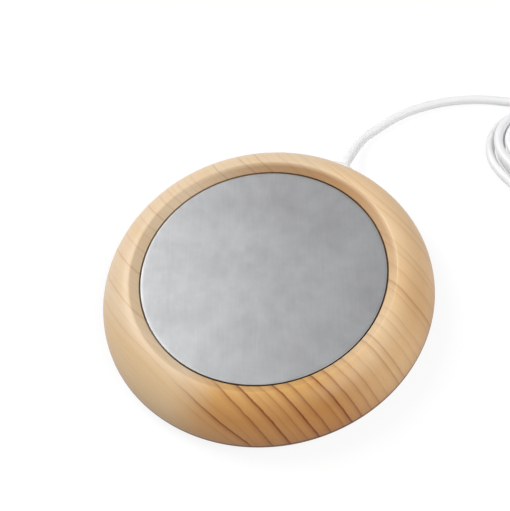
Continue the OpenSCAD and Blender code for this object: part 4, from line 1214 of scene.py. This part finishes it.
# %% Painted shade underneath, low on the side and behind the plate
# Painted shadow: the wood is dark from just above the widest place down to the bottom, as a contact
# shadow under the ring.
EDGE_SHADOW_FADE, EDGE_SHADOW_TONE = (6.2, 5.7), (0.38, 0.34, 0.32)
# Painted shade: the wood darkens as its face turns down under the widest place, except on the flat
# bottom.
FLAT_FADE, UNDER_SHADE_FADE, UNDER_SHADE_TONE = (-0.99, -0.9), (0.6, -0.5), (0.5, 0.36, 0.25)
# Painted shade: the inner slope behind the plate, towards +Y, is made browner.
SLOPE_SHADE_RADII, SLOPE_SHADE_FADE, SLOPE_SHADE_TONE = (44.2, 43.0), (14, 43), (0.62, 0.48, 0.36)

normal = add_node(tree, "TexCoord").outputs["Normal"]
upward = add_node(tree, "SeparateXYZ", {"Vector": normal}).outputs["Z"]
not_flat = scaled(tree, upward, *FLAT_FADE)
# Painted shade on the faces that turn down under the widest place, but not on the flat bottom.
painted_under_shade = maths(tree, "MULTIPLY", not_flat, scaled(tree, upward, *UNDER_SHADE_FADE, kind="SMOOTHSTEP"))
colour = toned(tree, painted_under_shade, colour, UNDER_SHADE_TONE)
# Painted contact shadow low on the side, kept off the flat bottom.
painted_edge_shadow = maths(tree, "MULTIPLY", not_flat, scaled(tree, z, *EDGE_SHADOW_FADE))
colour = toned(tree, painted_edge_shadow, colour, EDGE_SHADOW_TONE)
# Painted shade on the inner slope at the back of the ring.
painted_slope_shade = maths(tree, "MULTIPLY", scaled(tree, radius, *SLOPE_SHADE_RADII), scaled(tree, y, *SLOPE_SHADE_FADE))
colour = toned(tree, painted_slope_shade, colour, SLOPE_SHADE_TONE)
print("shade:", len(tree.nodes), "nodes so far")

# %% [markdown]
# ## The varnish
#
# A satin varnish lies over the wood as a thin film. It could be a clear shell of its own round the
# ring, but the shader's coat does the same without a second surface. Its gloss drifts in smudges, as
# on a thing that is often touched, and differs a little from fibre to fibre. The fibres also stand
# up through it by a few hundredths of a millimetre.

# %% Varnish over the wood
VARNISH_ROUGH, FIBRE_ROUGH = (0.36, 0.44), 0.05
FIBRE_HEIGHT = 0.00006

smudges = use_group(tree, patches, size=0.018, softness=0.3)
sheen_rough = maths(tree, "ADD", scaled(tree, smudges.outputs["Mask"], 0, 1, *VARNISH_ROUGH),
                    scaled(tree, fibre, *FIBRE_MIDDLE, 0, FIBRE_ROUGH))
fibre_bump = add_node(tree, "Bump", {"Strength": 0.35, "Distance": FIBRE_HEIGHT, "Height": fibre})
surface = add_node(tree, "BsdfPrincipled", {
    "Base Color": colour, "Roughness": sheen_rough, "Normal": fibre_bump.outputs[0],
    "Coat Weight": 0.06, "Coat Roughness": 0.2, "Coat IOR": 1.5, "IOR": 1.48,
    "Specular IOR Level": 0.3})
tree.links.new(surface.outputs[0], out.inputs["Surface"])
dress(wood_ring, wood)
print("wood material with", len(tree.nodes), "nodes")

# %% [markdown]
# ## Brushed plate
#
# The plate is plain aluminium, brushed by hand rather than by machine, so its scratches are short and
# faint and its tone drifts in cloudy patches. It is a metal with a fairly high roughness, which turns
# the lamp into a broad glow instead of a picture of itself. The brushing changes the roughness and the
# tone a little, and gives a very shallow bump.

# %% Brushed plate
PLATE_COLOUR, PLATE_SHADE = (0.304, 0.308, 0.314), (0.216, 0.217, 0.222)
CLOUD_SHARE, FLECK_SHARE, SCRATCH_SHARE = 0.48, 0.26, 0.14
PLATE_ROUGH = (0.42, 0.45)
SCRATCH_MIDDLE = (0.3, 0.7)
FINE_SHARE = 0.5
SCRATCH_HEIGHT = 0.00003
BRUSH_ANGLE = math.radians(119)

brushed, tree, out = empty_material("brushed_aluminium")
clouds = use_group(tree, patches, size=0.017, softness=0.2)
flecks = use_group(tree, patches, size=0.004, softness=0.2)
long_scratches = use_group(tree, brushing, angle=BRUSH_ANGLE, width=0.0007, length=0.009)
fine_scratches = use_group(tree, brushing, angle=BRUSH_ANGLE, width=0.00018, length=0.004)
long_part = long_scratches.outputs["Scratches"]
tone = maths(tree, "MULTIPLY_ADD", clouds.outputs["Mask"], CLOUD_SHARE, maths(
    tree, "MULTIPLY", scaled(tree, long_part, *SCRATCH_MIDDLE), SCRATCH_SHARE))
tone = maths(tree, "MULTIPLY_ADD", flecks.outputs["Mask"], FLECK_SHARE, tone)
scratch_mix = maths(tree, "MULTIPLY_ADD", fine_scratches.outputs["Scratches"], FINE_SHARE, long_part)
scratch_bump = add_node(tree, "Bump", {
    "Strength": 0.25, "Distance": SCRATCH_HEIGHT, "Height": scratch_mix})
surface = add_node(tree, "BsdfPrincipled", {
    "Base Color": blended(tree, tone, PLATE_COLOUR, PLATE_SHADE), "Metallic": 1.0,
    "Roughness": scaled(tree, long_part, *SCRATCH_MIDDLE, *PLATE_ROUGH),
    "Normal": scratch_bump.outputs[0]})
tree.links.new(surface.outputs[0], out.inputs["Surface"])
dress(hot_plate, brushed)
print("plate material with", len(tree.nodes), "nodes")

# %% [markdown]
# ## Moulded, metal and cloth finishes
#
# The other pieces are moulded plastic and rubber, small stamped metal parts and a felt pad. They share
# one recipe with different values: two close tones mixed by patches, a roughness that drifts, and a
# grain or brushing as a bump. Writing it once as a function keeps their values side by side.

# %% One recipe for the plain finishes
BUMP_STRENGTH, SCRATCH_RATIO = 0.4, 18
GRAIN_SHARE, PATCH_SHARE = 0.25, 0.75
GLOW_DEPTH, GLOW_COLOUR = 0.002, (1.0, 0.95, 0.9)


def as_tone(tone):
    """A colour, or a grey from one number."""
    return tone if isinstance(tone, tuple) else (tone, tone, tone)


def finish(name, light, dark, rough, patch=12, size=0.4, depth=0.02, coat=0.0, metal=False, brush=None,
           glow=0.0):
    """A finish of two tones. Metals are brushed along an angle, the rest have a moulded grain.

    The patches' size, the size of the grain or the scratches, and their depth are in millimetres.
    """
    material, tree, out = empty_material(name)
    drift = use_group(tree, patches, size=patch * MM, softness=0.3)
    if brush is None:
        height = use_group(tree, grain, size=size * MM).outputs[0]
    else:
        height = use_group(tree, brushing, angle=brush, width=size * MM,
                           length=size * MM * SCRATCH_RATIO).outputs[0]
    share = maths(tree, "MULTIPLY_ADD", height, GRAIN_SHARE,
                  maths(tree, "MULTIPLY", drift.outputs["Mask"], PATCH_SHARE))
    bump = add_node(tree, "Bump", {"Strength": BUMP_STRENGTH, "Distance": depth * MM, "Height": height})
    surface = add_node(tree, "BsdfPrincipled", {
        "Base Color": blended(tree, share, as_tone(light), as_tone(dark)),
        "Metallic": 1.0 if metal else 0.0,
        "Roughness": scaled(tree, drift.outputs["Mask"], 0, 1, *rough), "Normal": bump.outputs[0],
        "Coat Weight": coat, "Coat Roughness": 0.15, "Subsurface Weight": glow,
        "Subsurface Scale": GLOW_DEPTH, "Subsurface Radius": GLOW_COLOUR})
    tree.links.new(surface.outputs[0], out.inputs["Surface"])
    return material


print("the recipe is ready")

# %% The plain finishes
FINISHES = {
    "cord": finish("soft_white_lead", (0.87, 0.87, 0.875), (0.82, 0.82, 0.83), (0.4, 0.5), patch=20,
                   size=0.5, depth=0.015, coat=0.1, glow=0.4),
    "boot": finish("soft_white_boot", 0.87, 0.83, (0.42, 0.52), patch=6, size=0.3),
    "case_plastic": finish("white_case", (0.83, 0.83, 0.825), (0.79, 0.79, 0.785), (0.22, 0.32),
                           patch=10, size=0.3, depth=0.01, coat=0.25),
    "base_plastic": finish("tan_base", (0.40, 0.27, 0.165), (0.34, 0.225, 0.135), (0.5, 0.62),
                           patch=20, size=0.6, depth=0.05),
    "foot_rubber": finish("foot_rubber", 0.13, 0.095, (0.65, 0.8), patch=4, size=0.3, depth=0.03),
    "gasket": finish("gasket_rubber", 0.045, 0.03, (0.6, 0.75)),
    "steel": finish("plated_steel", (0.52, 0.53, 0.54), (0.44, 0.45, 0.46), (0.28, 0.4), patch=6,
                    size=0.15, depth=0.01, metal=True, brush=0.4),
    "plug_metal": finish("nickel_shell", (0.66, 0.65, 0.63), (0.58, 0.57, 0.55), (0.18, 0.28), patch=8,
                         size=0.12, depth=0.008, metal=True, brush=math.radians(PLUG_ANGLE)),
    "contact_brass": finish("gold_contact", (0.80, 0.56, 0.22), (0.68, 0.45, 0.16), (0.22, 0.34),
                            patch=3, size=0.1, depth=0.008, metal=True, brush=0.0),
    "track": finish("etched_track", (0.60, 0.31, 0.17), (0.48, 0.24, 0.13), (0.35, 0.5), patch=4,
                    size=0.2, metal=True, brush=1.0),
    "film": finish("amber_film", (0.52, 0.20, 0.03), (0.42, 0.15, 0.02), (0.25, 0.35), coat=0.4),
    "felt": finish("insulating_felt", (0.74, 0.72, 0.66), (0.60, 0.58, 0.52), (0.85, 0.95), patch=3,
                   size=0.5, depth=0.2),
    "ceramic": finish("glazed_ceramic", (0.83, 0.80, 0.72), (0.78, 0.75, 0.67), (0.12, 0.2), coat=0.6),
    "board": finish("board_green", (0.02, 0.12, 0.05), (0.015, 0.095, 0.04), (0.3, 0.42), patch=3,
                    size=0.6, coat=0.3),
    "chips": finish("chip_black", (0.018, 0.018, 0.02), (0.03, 0.03, 0.032), (0.5, 0.6), patch=2,
                    size=0.2),
    "wire": finish("red_wire", (0.45, 0.02, 0.02), (0.36, 0.015, 0.015), (0.35, 0.45), patch=4),
    "tie": finish("tie_strap", 0.60, (0.52, 0.52, 0.525), (0.6, 0.72), patch=3, size=0.7, depth=0.08),
    "tongue": finish("white_tongue", 0.85, 0.81, (0.35, 0.45)),
}
print(len(FINISHES), "finishes")

# %% [markdown]
# ## Giving every piece its finish
#
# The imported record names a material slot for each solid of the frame, and each piece made here has
# said which slot it takes. One pass gives all of them the finish of that name. The ring and the plate
# already have their own.

# %% Give the finishes
slot_of_node = {row["node"]: row["material_slot"] for row in frame["record"]["subparts"]}
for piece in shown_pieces():
    if piece in (wood_ring, hot_plate):
        continue
    dress(piece, FINISHES[piece.get("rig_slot") or slot_of_node[piece.name]])
